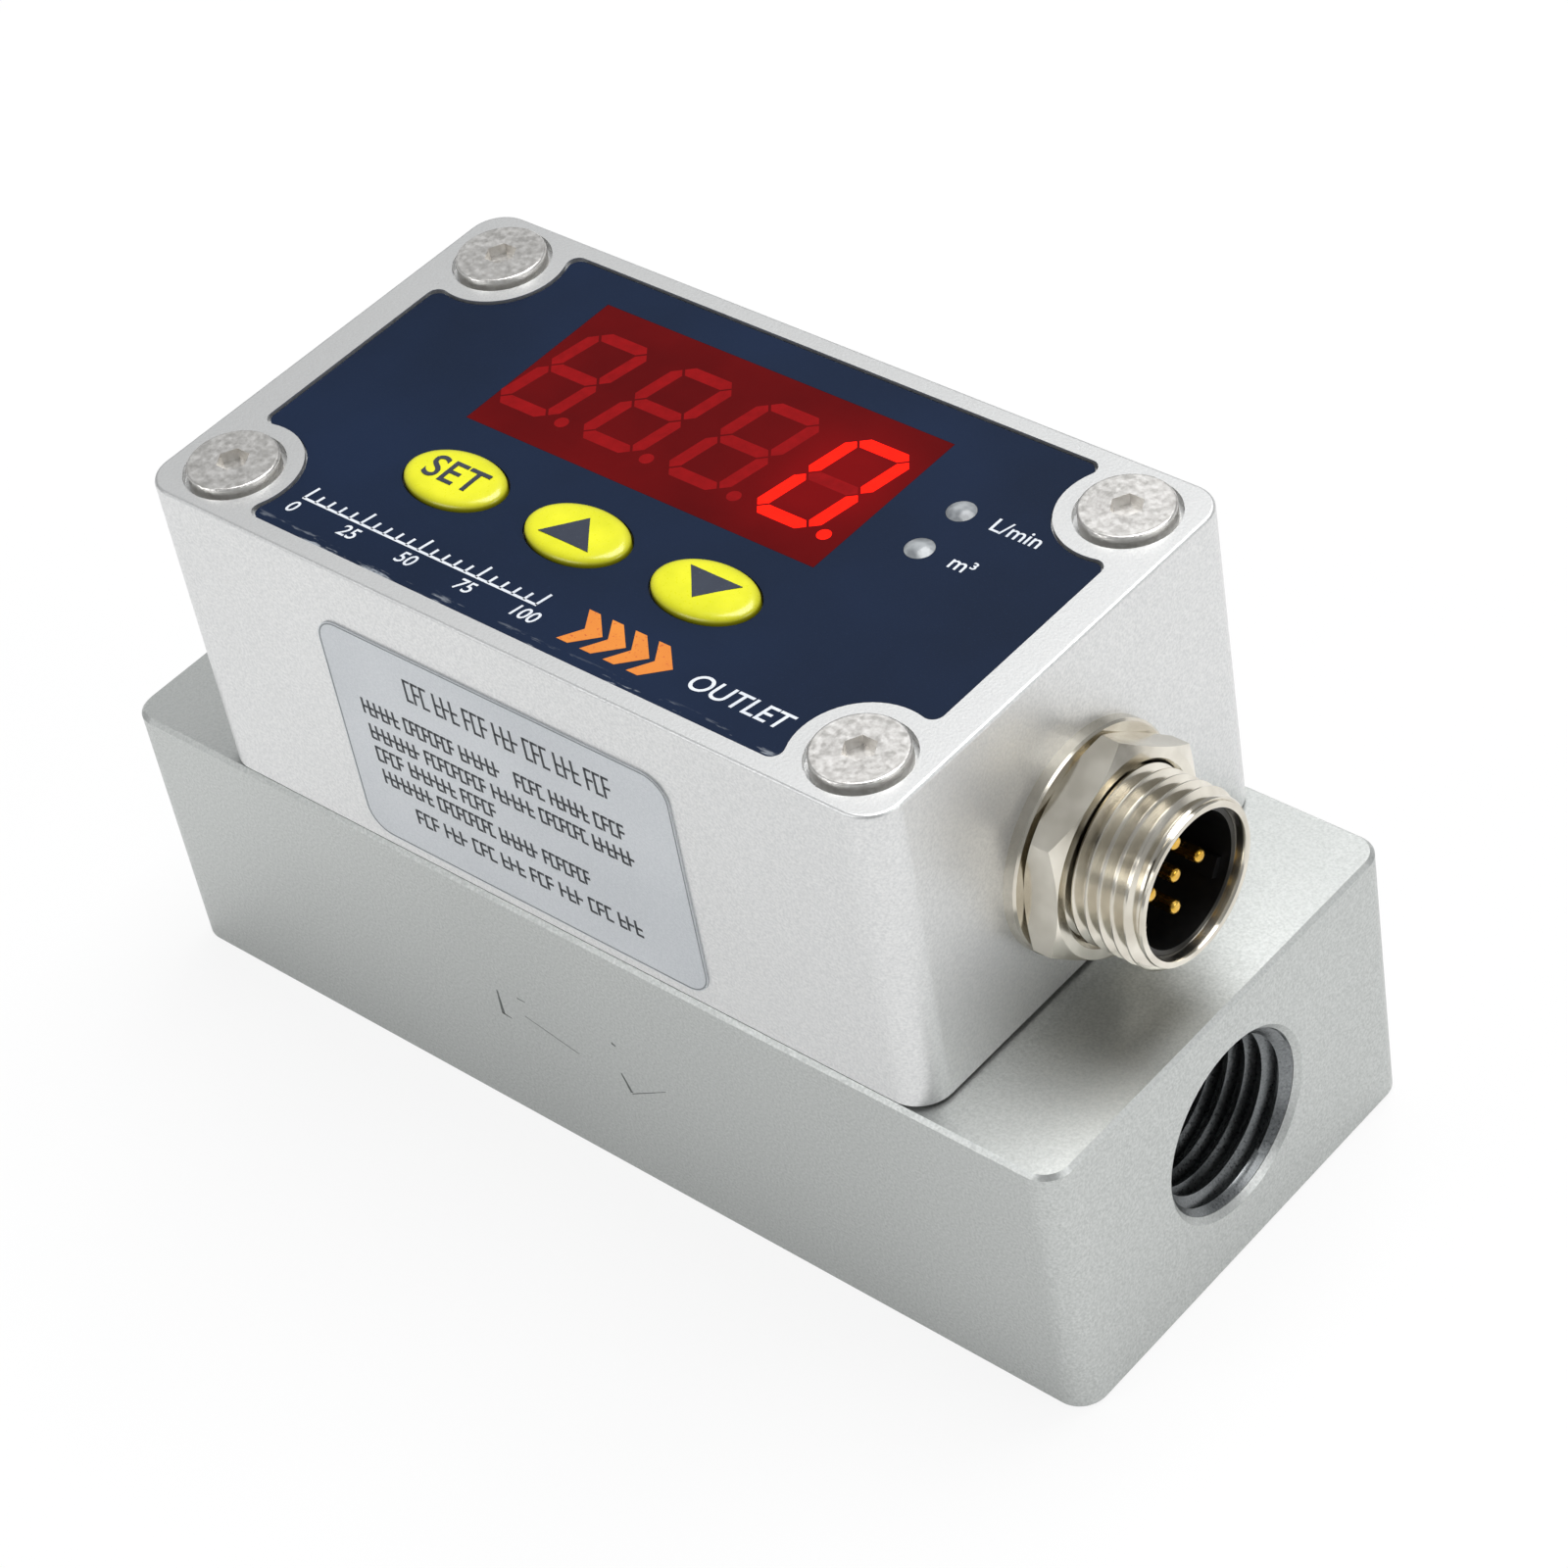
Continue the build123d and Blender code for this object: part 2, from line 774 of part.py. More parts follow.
def digit_bars():
    """The seven bars of a digit about its own middle, by their usual letters."""
    w, h = (digit_pitch - digit_spacing) / 2, display_width / 2 - digit_margin
    return {
        "a": segment(-w, h, w, h), "b": segment(w, h, w, 0), "c": segment(w, 0, w, -h),
        "d": segment(-w, -h, w, -h), "e": segment(-w, -h, -w, 0), "f": segment(-w, 0, -w, h),
        "g": segment(-w, 0, w, 0),
    }


def display_shapes():
    """Flat outlines of all bars and dots, split into dark and lit ones."""
    dark, lit = [], []
    for place in range(digit_count):
        middle_x = display_x + digit_shift + (place - (digit_count - 1) / 2) * digit_pitch
        last = place == digit_count - 1
        for letter, corners in digit_bars().items():
            shape = make_face(Polyline(*slanted(corners, middle_x), close=True))
            (lit if last and letter != "g" else dark).append(shape)
        dot = ((digit_pitch - digit_spacing) / 2 + dot_offset, digit_margin - display_width / 2)
        dot_x, dot_y = slanted([dot], middle_x)[0]
        (lit if last else dark).append(Pos(dot_x, dot_y) * Circle(dot_radius))
    return dark, lit


dark_shapes, lit_shapes = display_shapes()


def make_display_module():
    return block(
        display_x - display_length / 2, display_x + display_length / 2,
        display_y - display_width / 2, display_y + display_width / 2,
        display_board_top, field_floor,
    )


def make_display_face():
    outline = Rectangle(display_length, display_width)
    face = Pos(display_x, display_y) * outline
    face -= dark_shapes + lit_shapes
    return plate(face, field_floor, film_top)


def make_display_bars(shapes):
    return group([plate(shape, field_floor, film_top) for shape in shapes])


def display_pin_places():
    away = display_width / 2 - display_pin_inset
    middle = (display_pins_per_row - 1) / 2
    columns = [display_x + (k - middle) * display_pin_spacing for k in range(display_pins_per_row)]
    return [(x, y) for x in columns for y in (display_y - away, display_y + away)]


def make_display_pins():
    low = display_board_bottom - display_pin_reach
    return group([rod_z(x, y, low, display_board_top, display_pin_radius) for x, y in display_pin_places()])


# Keys and their switches

def make_key(x, y):
    low = roof_under - key_lip_thickness
    cap = plate(key_outline(x, y, 0), roof_under, film_top + key_rise)
    cap = fillet(cap.faces().sort_by(Axis.Z)[-1].edges(), key_edge_radius)
    lip = plate(key_outline(x, y, key_lip), low, roof_under)
    stem = rod_z(x, y, low - key_stem_length, low, key_stem_radius)
    return cap + lip + stem


def switch_levels():
    body_top = display_board_top + switch_height
    plunger_top = roof_under - key_lip_thickness - key_stem_length
    plunger_bottom = body_top - plunger_depth
    return body_top, plunger_top, plunger_bottom


def make_plunger(x, y):
    body_top, plunger_top, plunger_bottom = switch_levels()
    return rod_z(x, y, plunger_bottom, plunger_top, plunger_radius)


def make_switches():
    body_top, plunger_top, plunger_bottom = switch_levels()
    half = switch_size / 2
    solids = []
    for x, y in key_places:
        body = block(x - half, x + half, y - half, y + half, display_board_top, body_top)
        body = chamfer(body.edges().filter_by(Axis.Z), switch_corner)
        well_floor = plunger_bottom - key_travel - plunger_gap
        body -= rod_z(x, y, well_floor, body_top, plunger_radius + plunger_gap)
        solids.append(body)
    return group(solids)


# Indicator lamps

def make_lenses():
    solids = []
    low = roof_under - lens_lip_thickness
    for x, y in lamp_places:
        lens = rod_z(x, y, display_board_top + lamp_height, film_top, lens_radius)
        lens += rod_z(x, y, low, roof_under, lens_lip_radius)
        ball_radius = (lens_radius**2 + lens_dome_height**2) / (2 * lens_dome_height)
        ball = Pos(x, y, film_top + lens_dome_height - ball_radius) * Sphere(ball_radius)
        dome = ball & rod_z(x, y, film_top, film_top + 2 * lens_dome_height, lens_radius)
        solids.append(lens + dome)
    return group(solids)


def make_lamps():
    half = lamp_size / 2
    return group([
        block(x - half, x + half, y - half, y + half, display_board_top, display_board_top + lamp_height)
        for x, y in lamp_places
    ])


def make_display_board():
    board = slab(
        display_board_length, board_width, board_corner_radius, display_board_bottom, display_board_top
    )
    for x, y in boss_places:
        board -= rod_z(x, y, display_board_bottom, display_board_top, small_tapped_radius)
    for x, y in display_pin_places():
        board -= rod_z(x, y, display_board_bottom, display_board_top, display_pin_radius + fit_gap)
    for hole in header_holes(link_x, link_rows, link_pins, display_board_bottom, display_board_top):
        board -= hole
    return board


def make_display_board_screws():
    reach = board_thickness + boss_screw_reach - thread_end_gap
    solids = []
    for x, y in boss_places:
        upright = small_screw(0, 0, 0, reach)
        solids.append(Pos(x, y, display_board_bottom) * Rot(180, 0, 0) * upright)
    return group(solids)


# Panel connector

def make_connector_shell():
    profile = [
        (tail_end, shell_tail_bore),
        (tail_end, shell_tail_radius),
        (flange_start, shell_tail_radius),
        (flange_start, shell_flange_radius),
        (gasket_start, shell_flange_radius),
        (gasket_start, thread_radius - shank_step),
        (nut_end + thread_start_gap, thread_radius - shank_step),
        (nut_end + thread_start_gap, thread_radius),
        (connector_mouth - thread_chamfer, thread_radius),
        (connector_mouth, thread_radius - thread_chamfer),
        (connector_mouth, socket_radius + socket_lip_chamfer),
        (connector_mouth - socket_lip_chamfer, socket_radius),
        (flange_start, socket_radius),
        (flange_start, shell_tail_bore),
    ]
    return turned(profile, connector_height)


def make_connector_gasket():
    ring = [
        (gasket_start, thread_radius + fit_gap),
        (gasket_start, shell_flange_radius - gasket_inset),
        (wall_inside, shell_flange_radius - gasket_inset),
        (wall_inside, thread_radius + fit_gap),
    ]
    return turned(ring, connector_height)


def make_connector_washer():
    ring = [
        (wall_outside, thread_radius + fit_gap),
        (wall_outside, washer_radius),
        (nut_start - washer_chamfer, washer_radius),
        (nut_start, washer_radius - washer_chamfer),
        (nut_start, thread_radius + fit_gap),
    ]
    return turned(ring, connector_height)


def make_connector_nut():
    corner = nut_across / sqrt(3)
    flat = nut_across / 2
    hexagon = Rot(0, 0, nut_turn) * RegularPolygon(corner, 6)
    prism = extrude(Plane.YZ * hexagon, nut_thickness)
    drop = (corner - flat) * tan(radians(30))
    cone = [
        (0, 0), (0, flat), (drop, corner), (nut_thickness - drop, corner), (nut_thickness, flat),
        (nut_thickness, 0),
    ]
    nut = prism & turned(cone, 0)
    wide = thread_radius + nut_bore_chamfer
    bore = [
        (0, 0), (0, wide), (nut_bore_chamfer, thread_radius + fit_gap),
        (nut_thickness - nut_bore_chamfer, thread_radius + fit_gap), (nut_thickness, wide),
        (nut_thickness, 0),
    ]
    nut -= turned(bore, 0)
    return Pos(nut_start, 0, connector_height) * nut


def make_insulator():
    body = turned(
        [
            (tail_end, 0), (tail_end, shell_tail_bore - fit_gap),
            (flange_start + fit_gap, shell_tail_bore - fit_gap),
            (flange_start + fit_gap, socket_radius - fit_gap),
            (insulator_face, socket_radius - fit_gap), (insulator_face, 0),
        ],
        connector_height,
    )
    rib_top = sqrt((socket_radius - fit_gap) ** 2 - (key_rib_width / 2) ** 2)
    rib = block(
        insulator_face, pin_tip, rib_top - key_rib_height, rib_top, -key_rib_width / 2, key_rib_width / 2
    )
    body += Pos(0, 0, connector_height) * Rot(key_rib_angle, 0, 0) * rib
    for y, z in pin_places:
        body -= rod_x(tail_end, insulator_face, y, connector_height + z, pin_radius + fit_gap)
    return body


def make_connector_pins():
    solids = []
    for y, z in pin_places:
        pin = rod_x(cup_end, pin_tip, y, connector_height + z, pin_radius)
        pin = fillet(pin.faces().sort_by(Axis.X)[-1].edges(), pin_radius * 0.6)
        cup = rod_x(cup_end, tail_end, y, connector_height + z, lead_radius + cup_wall)
        well = rod_x(cup_end, tail_end - cup_floor, y, connector_height + z, lead_radius + fit_gap)
        solids.append(pin + cup - well)
    return group(solids)


def lead_places():
    """Cup and header ends of each lead, sorted so that the leads don't cross."""
    cups = sorted(pin_places)
    ends = []
    for k, (y, z) in enumerate(cups):
        ends.append((y, z, (k - (len(cups) - 1) / 2) * lead_spacing))
    return ends


def make_lead_header():
    half = len(pin_places) * lead_spacing / 2
    body = block(
        lead_header_front - lead_header_length, lead_header_front, -half, half,
        main_board_top, main_board_top + lead_header_height,
    )
    level = main_board_top + lead_header_height / 2
    for y, z, end in lead_places():
        body -= rod_x(lead_header_front - lead_grip, lead_header_front, end, level, lead_radius + fit_gap)
    return body


def make_leads():
    solids = []
    level = main_board_top + lead_header_height / 2
    for y, z, end in lead_places():
        height = connector_height + z
        points = [
            (tail_end - cup_floor, y, height),
            (cup_end - lead_straight, y, height),
            (lead_header_front + lead_straight, end, level),
            (lead_header_front - lead_grip, end, level),
        ]
        path = FilletPolyline(*points, radius=lead_straight * 0.6)
        section = Plane(origin=points[0], z_dir=(-1, 0, 0)) * Circle(lead_radius)
        solids.append(sweep(section, path=path))
    return group(solids)


# Side label

def make_side_label():
    outline = RectangleRounded(label_length, label_height, label_corner_radius)
    sheet = extrude(Plane.XZ * outline, label_thickness)
    middle = housing_bottom + label_rise + label_height / 2
    return Pos(label_x, -housing_width / 2, middle) * sheet


# Everything, node by node

nodes = {
    "base_block": make_base_block(),
    "inlet_retaining_ring": make_retainer(-stack_end),
    "inlet_screen": make_screen(inlet_screen_start),
    "flow_straightener": make_straightener(),
    "flow_nozzle": make_nozzle(),
    "nozzle_o_rings": make_nozzle_rings(),
    "outlet_screen": make_screen(nozzle_end),
    "outlet_retaining_ring": make_retainer(stack_end - retainer_length),
    "sensor_carrier": make_sensor_carrier(),
    "sensor_chip": make_sensor_chip(),
    "sensor_o_ring": make_sensor_ring(),
    "sensor_board": make_sensor_board(),
    "sensor_board_screws": make_sensor_screws(),
    "sensor_header": make_sensor_header(),
    "main_board": make_main_board(),
    "main_board_spacers": make_spacers(),
    "main_board_screws": make_board_screws(),
    "controller_chip": make_controller_chip(),
    "voltage_regulator": make_regulator(),
    "capacitors": make_capacitors(),
    "lead_header": make_lead_header(),
    "board_link": make_board_link(),
    "display_board": make_display_board(),
    "display_board_screws": make_display_board_screws(),
    "display_module": make_display_module(),
    "display_pins": make_display_pins(),
    "display_face": make_display_face(),
    "display_segments": make_display_bars(dark_shapes),
    "display_segments_lit": make_display_bars(lit_shapes),
    "key_switches": make_switches(),
    "indicator_lamps": make_lamps(),
    "indicator_lenses": make_lenses(),
    "housing": make_housing(),
    "housing_seal": make_housing_seal(),
    "housing_screws": make_housing_screws(),
    "panel_film": make_panel_film(),
    "side_label": make_side_label(),
    "connector_shell": make_connector_shell(),
    "connector_gasket": make_connector_gasket(),
    "connector_washer": make_connector_washer(),
    "connector_nut": make_connector_nut(),
    "connector_insulator": make_insulator(),
    "connector_pins": make_connector_pins(),
    "connector_leads": make_leads(),
}
for name, (x, y) in zip(("set", "up", "down"), key_places):
    nodes[name + "_key"] = make_key(x, y)
    nodes[name + "_key_plunger"] = make_plunger(x, y)

for name, shape in nodes.items():
    export_step(shape, "parts/" + name + ".step")
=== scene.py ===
import math

import bmesh
import bpy
from mathutils import Matrix, Vector


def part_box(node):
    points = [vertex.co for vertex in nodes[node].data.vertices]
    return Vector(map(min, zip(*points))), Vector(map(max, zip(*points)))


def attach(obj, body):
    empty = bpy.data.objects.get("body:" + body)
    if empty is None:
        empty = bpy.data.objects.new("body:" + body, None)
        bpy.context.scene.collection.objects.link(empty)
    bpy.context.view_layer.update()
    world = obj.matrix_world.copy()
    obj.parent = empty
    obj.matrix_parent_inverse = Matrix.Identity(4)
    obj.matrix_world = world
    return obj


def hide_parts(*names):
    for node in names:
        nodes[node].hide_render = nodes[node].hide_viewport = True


# Looks of a compact in-line thermal mass flow meter: a blasted aluminium flow body with a
# cover, a panel with a display and three keys, and a round threaded connector.
# +X is the flow direction, -Y the side with the label, +Z up. Lengths are in metres,
# and names that end in _mm are in millimetres.

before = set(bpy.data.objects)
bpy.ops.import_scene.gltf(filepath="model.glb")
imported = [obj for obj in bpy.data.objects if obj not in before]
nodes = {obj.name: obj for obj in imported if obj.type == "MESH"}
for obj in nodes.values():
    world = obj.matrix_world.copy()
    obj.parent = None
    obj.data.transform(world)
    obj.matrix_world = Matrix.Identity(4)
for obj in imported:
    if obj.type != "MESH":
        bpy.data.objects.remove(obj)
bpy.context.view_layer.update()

MM = 0.001
FULL_TURN = 2 * math.pi

# Camera, solved from the photograph's straight edges
camera_place_mm = (166.023, -144.227, 215.686)
camera_turn_degrees = (47.7788, 8.3631, 40.5622)
camera_view_degrees = 20.3883

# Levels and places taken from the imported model
film_low, film_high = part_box("panel_film")
label_low, label_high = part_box("side_label")
base_low, base_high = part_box("base_block")
shell_low, shell_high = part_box("connector_shell")
nut_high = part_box("connector_nut")[1]
lens_low, lens_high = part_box("indicator_lenses")
lit_low, lit_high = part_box("display_segments_lit")
connector_axis = (shell_low.z + shell_high.z) / 2
print_rise = 0.012 * MM     # printed ink above its surface
print_sink = 0.03 * MM      # ink's underside below it
merge_distance = 1e-7       # points nearer than this are one point
print_line_mm = -12.75      # base line of the scale printed on the film
print_slant = 0.2           # lean of the film's print, as a share of its height

# Light and staging
object_middle = Vector((0.0, 0.0, 0.025))
floor_white_seen = 0.87     # share of plain white in the floor as the camera sees it
floor_white_mirrored = 0.3  # the same in reflections and through clear pieces
card_place = Vector((0.29, -0.25, 0.34))


# Colours and shader nodes

def colour(code):
    """The linear colour of an sRGB hex code."""
    parts = [int(code[k:k + 2], 16) / 255 for k in (1, 3, 5)]
    return [p / 12.92 if p <= 0.04045 else ((p + 0.055) / 1.055) ** 2.4 for p in parts] + [1.0]


class Finish:
    """A material that is built node by node."""

    def __init__(self, name):
        self.material = bpy.data.materials.new(name)
        self.material.use_nodes = True
        self.tree = self.material.node_tree
        self.tree.nodes.clear()
        self.place = self.add("TexCoord").outputs["Object"]

    def add(self, kind, *values, **named):
        """Adds a node. Values go to its inputs in order, named ones to inputs or properties."""
        node = self.tree.nodes.new("ShaderNode" + kind)
        inputs = {}
        for key, value in named.items():
            if hasattr(node, key):
                setattr(node, key, value)
            else:
                inputs[key.replace("_", " ")] = value
        for socket, value in list(enumerate(values)) + list(inputs.items()):
            self.feed(node.inputs[socket], value)
        return node

    def feed(self, socket, value):
        if isinstance(value, bpy.types.NodeSocket):
            self.tree.links.new(value, socket)
        else:
            socket.default_value = value

    def maths(self, operation, *values):
        return self.add("Math", *values, operation=operation).outputs[0]

    def noise(self, scale, detail=2.0, roughness=0.5, place=None):
        node = self.add("TexNoise", Scale=scale, Detail=detail, Roughness=roughness)
        self.feed(node.inputs["Vector"], place or self.place)
        return node.outputs[0]

    def stretched(self, x, y, z):
        """Object coordinates scaled along each axis."""
        node = self.add("Mapping")
        self.feed(node.inputs["Vector"], self.place)
        node.inputs["Scale"].default_value = (x, y, z)
        return node.outputs[0]

    def spread(self, value, low, high, to_low=0.0, to_high=1.0):
        """A value's range from low to high turned into another range, and held there."""
        return self.add("MapRange", value, low, high, to_low, to_high).outputs[0]

    def mix(self, share, first, second):
        """A colour between two colours."""
        node = self.add("Mix", data_type="RGBA")
        for name, value in (("Factor_Float", share), ("A_Color", first), ("B_Color", second)):
            self.feed(next(s for s in node.inputs if s.identifier == name), value)
        return next(s for s in node.outputs if s.identifier == "Result_Color")

    def bump(self, height, depth, strength=1.0, normal=None):
        """A normal from a height of 0 to 1 that is so deep in metres."""
        node = self.add("Bump", Strength=strength, Distance=depth, Height=height)
        if normal:
            self.feed(node.inputs["Normal"], normal)
        return node.outputs[0]

    def axis(self, letter):
        return self.add("SeparateXYZ", self.place).outputs[letter]

    def surface(self, **settings):
        """The finished surface, with fixed numbers on the shader's own sockets."""
        shader = self.add("BsdfPrincipled", **settings)
        output = self.add("OutputMaterial")
        self.feed(output.inputs["Surface"], shader.outputs[0])
        return self.material


# Metals

def blasted_aluminium(name, light, dark, roughness):
    """Bead-blasted and clear anodised aluminium: fine bright and dark grains, soft patches."""
    f = Finish(name)
    grain = f.noise(5200, 3.0, 0.6)
    patch = f.noise(45, 2.0)
    fine = f.spread(grain, 0.32, 0.68)
    tone = f.maths("ADD", f.maths("MULTIPLY", fine, 0.75), f.maths("MULTIPLY", patch, 0.25))
    pits = f.bump(grain, 0.012 * MM, 0.75)
    return f.surface(
        Base_Color=f.mix(tone, colour(dark), colour(light)), Metallic=0.9,
        Roughness=f.spread(fine, 0, 1, roughness + 0.05, roughness - 0.05), Normal=pits,
    )


def turned_steel():
    """Stainless screw heads, turned: faint rings round each head's axis."""
    f = Finish("stainless steel, turned")
    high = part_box("housing_screws")[1]
    head_radius = 3.15 * MM
    ring_pitch = 0.22 * MM
    parts = f.add("SeparateXYZ", f.place)
    dx = f.maths("SUBTRACT", f.maths("ABSOLUTE", parts.outputs["X"]), high.x - head_radius)
    dy = f.maths("SUBTRACT", f.maths("ABSOLUTE", parts.outputs["Y"]), high.y - head_radius)
    distance = f.maths("SQRT", f.maths("ADD", f.maths("MULTIPLY", dx, dx), f.maths("MULTIPLY", dy, dy)))
    ring = f.maths("SINE", f.maths("MULTIPLY", distance, FULL_TURN / ring_pitch))
    grain = f.noise(2600, 3.0)
    height = f.maths("ADD", f.maths("MULTIPLY", ring, 0.5), grain)
    tone = f.spread(grain, 0.3, 0.7)
    return f.surface(
        Base_Color=f.mix(tone, colour("#dddad5"), colour("#efedea")), Metallic=1.0,
        Roughness=f.spread(grain, 0.3, 0.7, 0.3, 0.42), Normal=f.bump(height, 0.0015 * MM, 0.4),
    )


def nickel_plate(name, roughness):
    """Nickel-plated brass: bright and slightly warm, with faint turning marks along X."""
    f = Finish(name)
    marks = f.noise(1.0, 3.0, 0.6, f.stretched(9000, 500, 500))
    cloud = f.noise(380, 2.0)
    tone = f.spread(cloud, 0.35, 0.65)
    return f.surface(
        Base_Color=f.mix(tone, colour("#cdc7ba"), colour("#e6e1d5")), Metallic=1.0,
        Roughness=f.spread(cloud, 0.3, 0.7, roughness, roughness + 0.08),
        Normal=f.bump(marks, 0.003 * MM, 0.5),
    )


def plain_metal(name, dark, light, roughness, scale=1800, depth=0.003 * MM):
    """A metal with a fine grain and slight changes of tone."""
    f = Finish(name)
    grain = f.noise(scale, 3.0)
    tone = f.spread(grain, 0.3, 0.7)
    return f.surface(
        Base_Color=f.mix(tone, colour(dark), colour(light)), Metallic=1.0,
        Roughness=f.spread(grain, 0.3, 0.7, roughness, roughness + 0.1), Normal=f.bump(grain, depth),
    )


# Plastics and rubber

def moulded(name, dark, light, roughness):
    """A plastic or rubber with a fine grain and slight changes of tone."""
    f = Finish(name)
    grain = f.noise(2400, 3.0)
    patch = f.noise(80, 2.0)
    tone = f.spread(f.maths("ADD", grain, patch), 0.7, 1.3)
    return f.surface(
        Base_Color=f.mix(tone, colour(dark), colour(light)),
        Roughness=f.spread(grain, 0.3, 0.7, roughness - 0.04, roughness + 0.06),
        Normal=f.bump(grain, 0.004 * MM),
    )


def panel_polyester():
    """Navy matt panel film: a fine pebble, and rubbed spots along its front edge."""
    f = Finish("polyester film, navy, fine matt")
    pebble = f.noise(6200, 2.0)
    cloud = f.noise(70, 3.0)
    base = f.mix(f.spread(cloud, 0.3, 0.7), colour("#0a1a31"), colour("#10213c"))
    speck = f.mix(f.spread(pebble, 0.55, 0.8, 0.0, 0.35), base, colour("#26344e"))
    scratch = f.noise(1.0, 4.0, 0.7, f.stretched(260, 1500, 1))
    edge = f.spread(f.axis("Y"), film_low.y + 0.9 * MM, film_low.y + 0.1 * MM)
    rubbed = f.maths("MULTIPLY", edge, f.spread(scratch, 0.56, 0.64))
    return f.surface(
        Base_Color=f.mix(rubbed, speck, colour("#9aa0a8")),
        Roughness=f.spread(pebble, 0.3, 0.7, 0.5, 0.62), Normal=f.bump(pebble, 0.006 * MM, 0.6),
        Specular_IOR_Level=0.14,
    )


def display_window():
    """Tinted window of the display: dark red, with painted light: a faint red glow over all of it, stronger
    round the lit digit.
    """
    f = Finish("acrylic, tinted red")
    middle = (lit_low + lit_high) / 2
    away = f.add("VectorMath", f.place, tuple(middle), operation="DISTANCE").outputs["Value"]
    glow = f.spread(away, 3.0 * MM, 9.0 * MM, 1.0, 0.0)
    glow = f.maths("MULTIPLY", glow, glow)
    cloud = f.noise(160, 3.0)
    dark = f.mix(f.spread(cloud, 0.3, 0.7), colour("#540204"), colour("#620406"))
    # Painted light: the window emits a faint red glow everywhere, more of it near the lit digit.
    return f.surface(
        Base_Color=dark, Roughness=0.3, Specular_IOR_Level=0.08,
        Emission_Color=f.mix(glow, colour("#2a0002"), colour("#8a0208")), Emission_Strength=0.3,
        Normal=f.bump(f.noise(900, 2.0), 0.002 * MM, 0.5),
    )


def display_bar(name, code, glow_code, strength):
    """A bar of a digit, unlit or lit: a light chamber filled with red resin. Every bar emits; for an unlit
    bar that glow is painted light.
    """
    f = Finish(name)
    cloud = f.noise(1500, 3.0)
    tone = f.spread(cloud, 0.3, 0.7)
    glow = colour(glow_code)
    soft = [part * 0.82 for part in glow[:3]] + [1.0]
    return f.surface(
        Base_Color=f.mix(tone, colour(code), [part * 0.8 for part in colour(code)[:3]] + [1.0]),
        Roughness=0.32, Specular_IOR_Level=0.08,
        Emission_Color=f.mix(tone, glow, soft), Emission_Strength=strength,
    )


def key_plastic():
    """Yellow key caps: smooth and glossy, darker towards the foot of their rim, which is painted shade."""
    f = Finish("polycarbonate, yellow")
    cloud = f.noise(420, 3.0)
    grain = f.noise(3800, 2.0)
    # Painted shade: the caps darken towards the film, down to an olive yellow where they meet it.
    height = f.spread(f.axis("Z"), film_high.z, film_high.z + 0.55 * MM)
    body = f.mix(f.spread(cloud, 0.3, 0.7), colour("#dfe00c"), colour("#f0ee1e"))
    return f.surface(
        Base_Color=f.mix(height, colour("#8c8a08"), body),
        Roughness=f.spread(grain, 0.3, 0.7, 0.26, 0.36), Coat_Weight=0.35, Coat_Roughness=0.12,
        Normal=f.bump(grain, 0.004 * MM, 0.5),
    )


def lens_plastic():
    """Water-clear lamp lens, unlit, over a grey lamp."""
    f = Finish("acrylic, clear, over unlit lamp")
    cloud = f.noise(900, 2.0)
    tone = f.spread(cloud, 0.35, 0.65)
    return f.surface(
        Base_Color=f.mix(tone, colour("#6e7276"), colour("#a9adb0")), Roughness=0.2,
        Coat_Weight=0.2, Coat_Roughness=0.1, Normal=f.bump(cloud, 0.01 * MM, 0.4),
    )


def printed_label():
    """Silver polyester label, satin."""
    f = Finish("polyester label, silver satin")
    grain = f.noise(7000, 2.0)
    cloud = f.noise(60, 2.0)
    tone = f.spread(f.maths("ADD", grain, cloud), 0.7, 1.3)
    return f.surface(
        Base_Color=f.mix(tone, colour("#c4c8cc"), colour("#d8dbde")), Metallic=0.35,
        Roughness=f.spread(grain, 0.3, 0.7, 0.38, 0.46), Normal=f.bump(grain, 0.003 * MM, 0.5),
    )


def ink(name, code, fade_code, worn=0.0):
    """Screen-printed ink, with pinholes where it is worn."""
    f = Finish(name)
    hole = f.noise(5000, 3.0)
    patch = f.noise(300, 3.0)
    worn_part = f.spread(hole, 0.62 - worn, 0.7)
    tone = f.mix(f.spread(patch, 0.3, 0.7, 0.0, 0.4), colour(code), colour(fade_code))
    return f.surface(
        Base_Color=f.mix(worn_part, tone, colour(fade_code)), Roughness=0.5,
        Normal=f.bump(hole, 0.002 * MM),
    )


def board_laminate():
    """Green solder mask over a board's copper tracks."""
    f = Finish("board laminate, green solder mask")
    track = f.add("TexBrick", Scale=260.0).outputs["Fac"]
    grain = f.noise(2600, 2.0)
    tone = f.maths("MULTIPLY", track, 0.5)
    base = f.mix(f.spread(grain, 0.3, 0.7), colour("#0c4a26"), colour("#11592f"))
    return f.surface(
        Base_Color=f.mix(tone, base, colour("#1c7a41")), Roughness=0.35,
        Normal=f.bump(track, 0.02 * MM, 0.5), Coat_Weight=0.3, Coat_Roughness=0.2,
    )


# Mesh building

def finish_mesh(name, bm, material, body, sharp_degrees=35):
    """Turns a bmesh into a piece that rides on a CAD body."""
    bmesh.ops.remove_doubles(bm, verts=bm.verts, dist=merge_distance)
    bmesh.ops.dissolve_degenerate(bm, edges=bm.edges, dist=merge_distance)
    bmesh.ops.recalc_face_normals(bm, faces=bm.faces)
    mesh = bpy.data.meshes.new(name)
    bm.to_mesh(mesh)
    bm.free()
    mesh.polygons.foreach_set("use_smooth", [True] * len(mesh.polygons))
    mesh.set_sharp_from_angle(angle=math.radians(sharp_degrees))
    mesh.materials.append(material)
    piece = bpy.data.objects.new(name, mesh)
    bpy.context.scene.collection.objects.link(piece)
    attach(piece, body)
    return piece


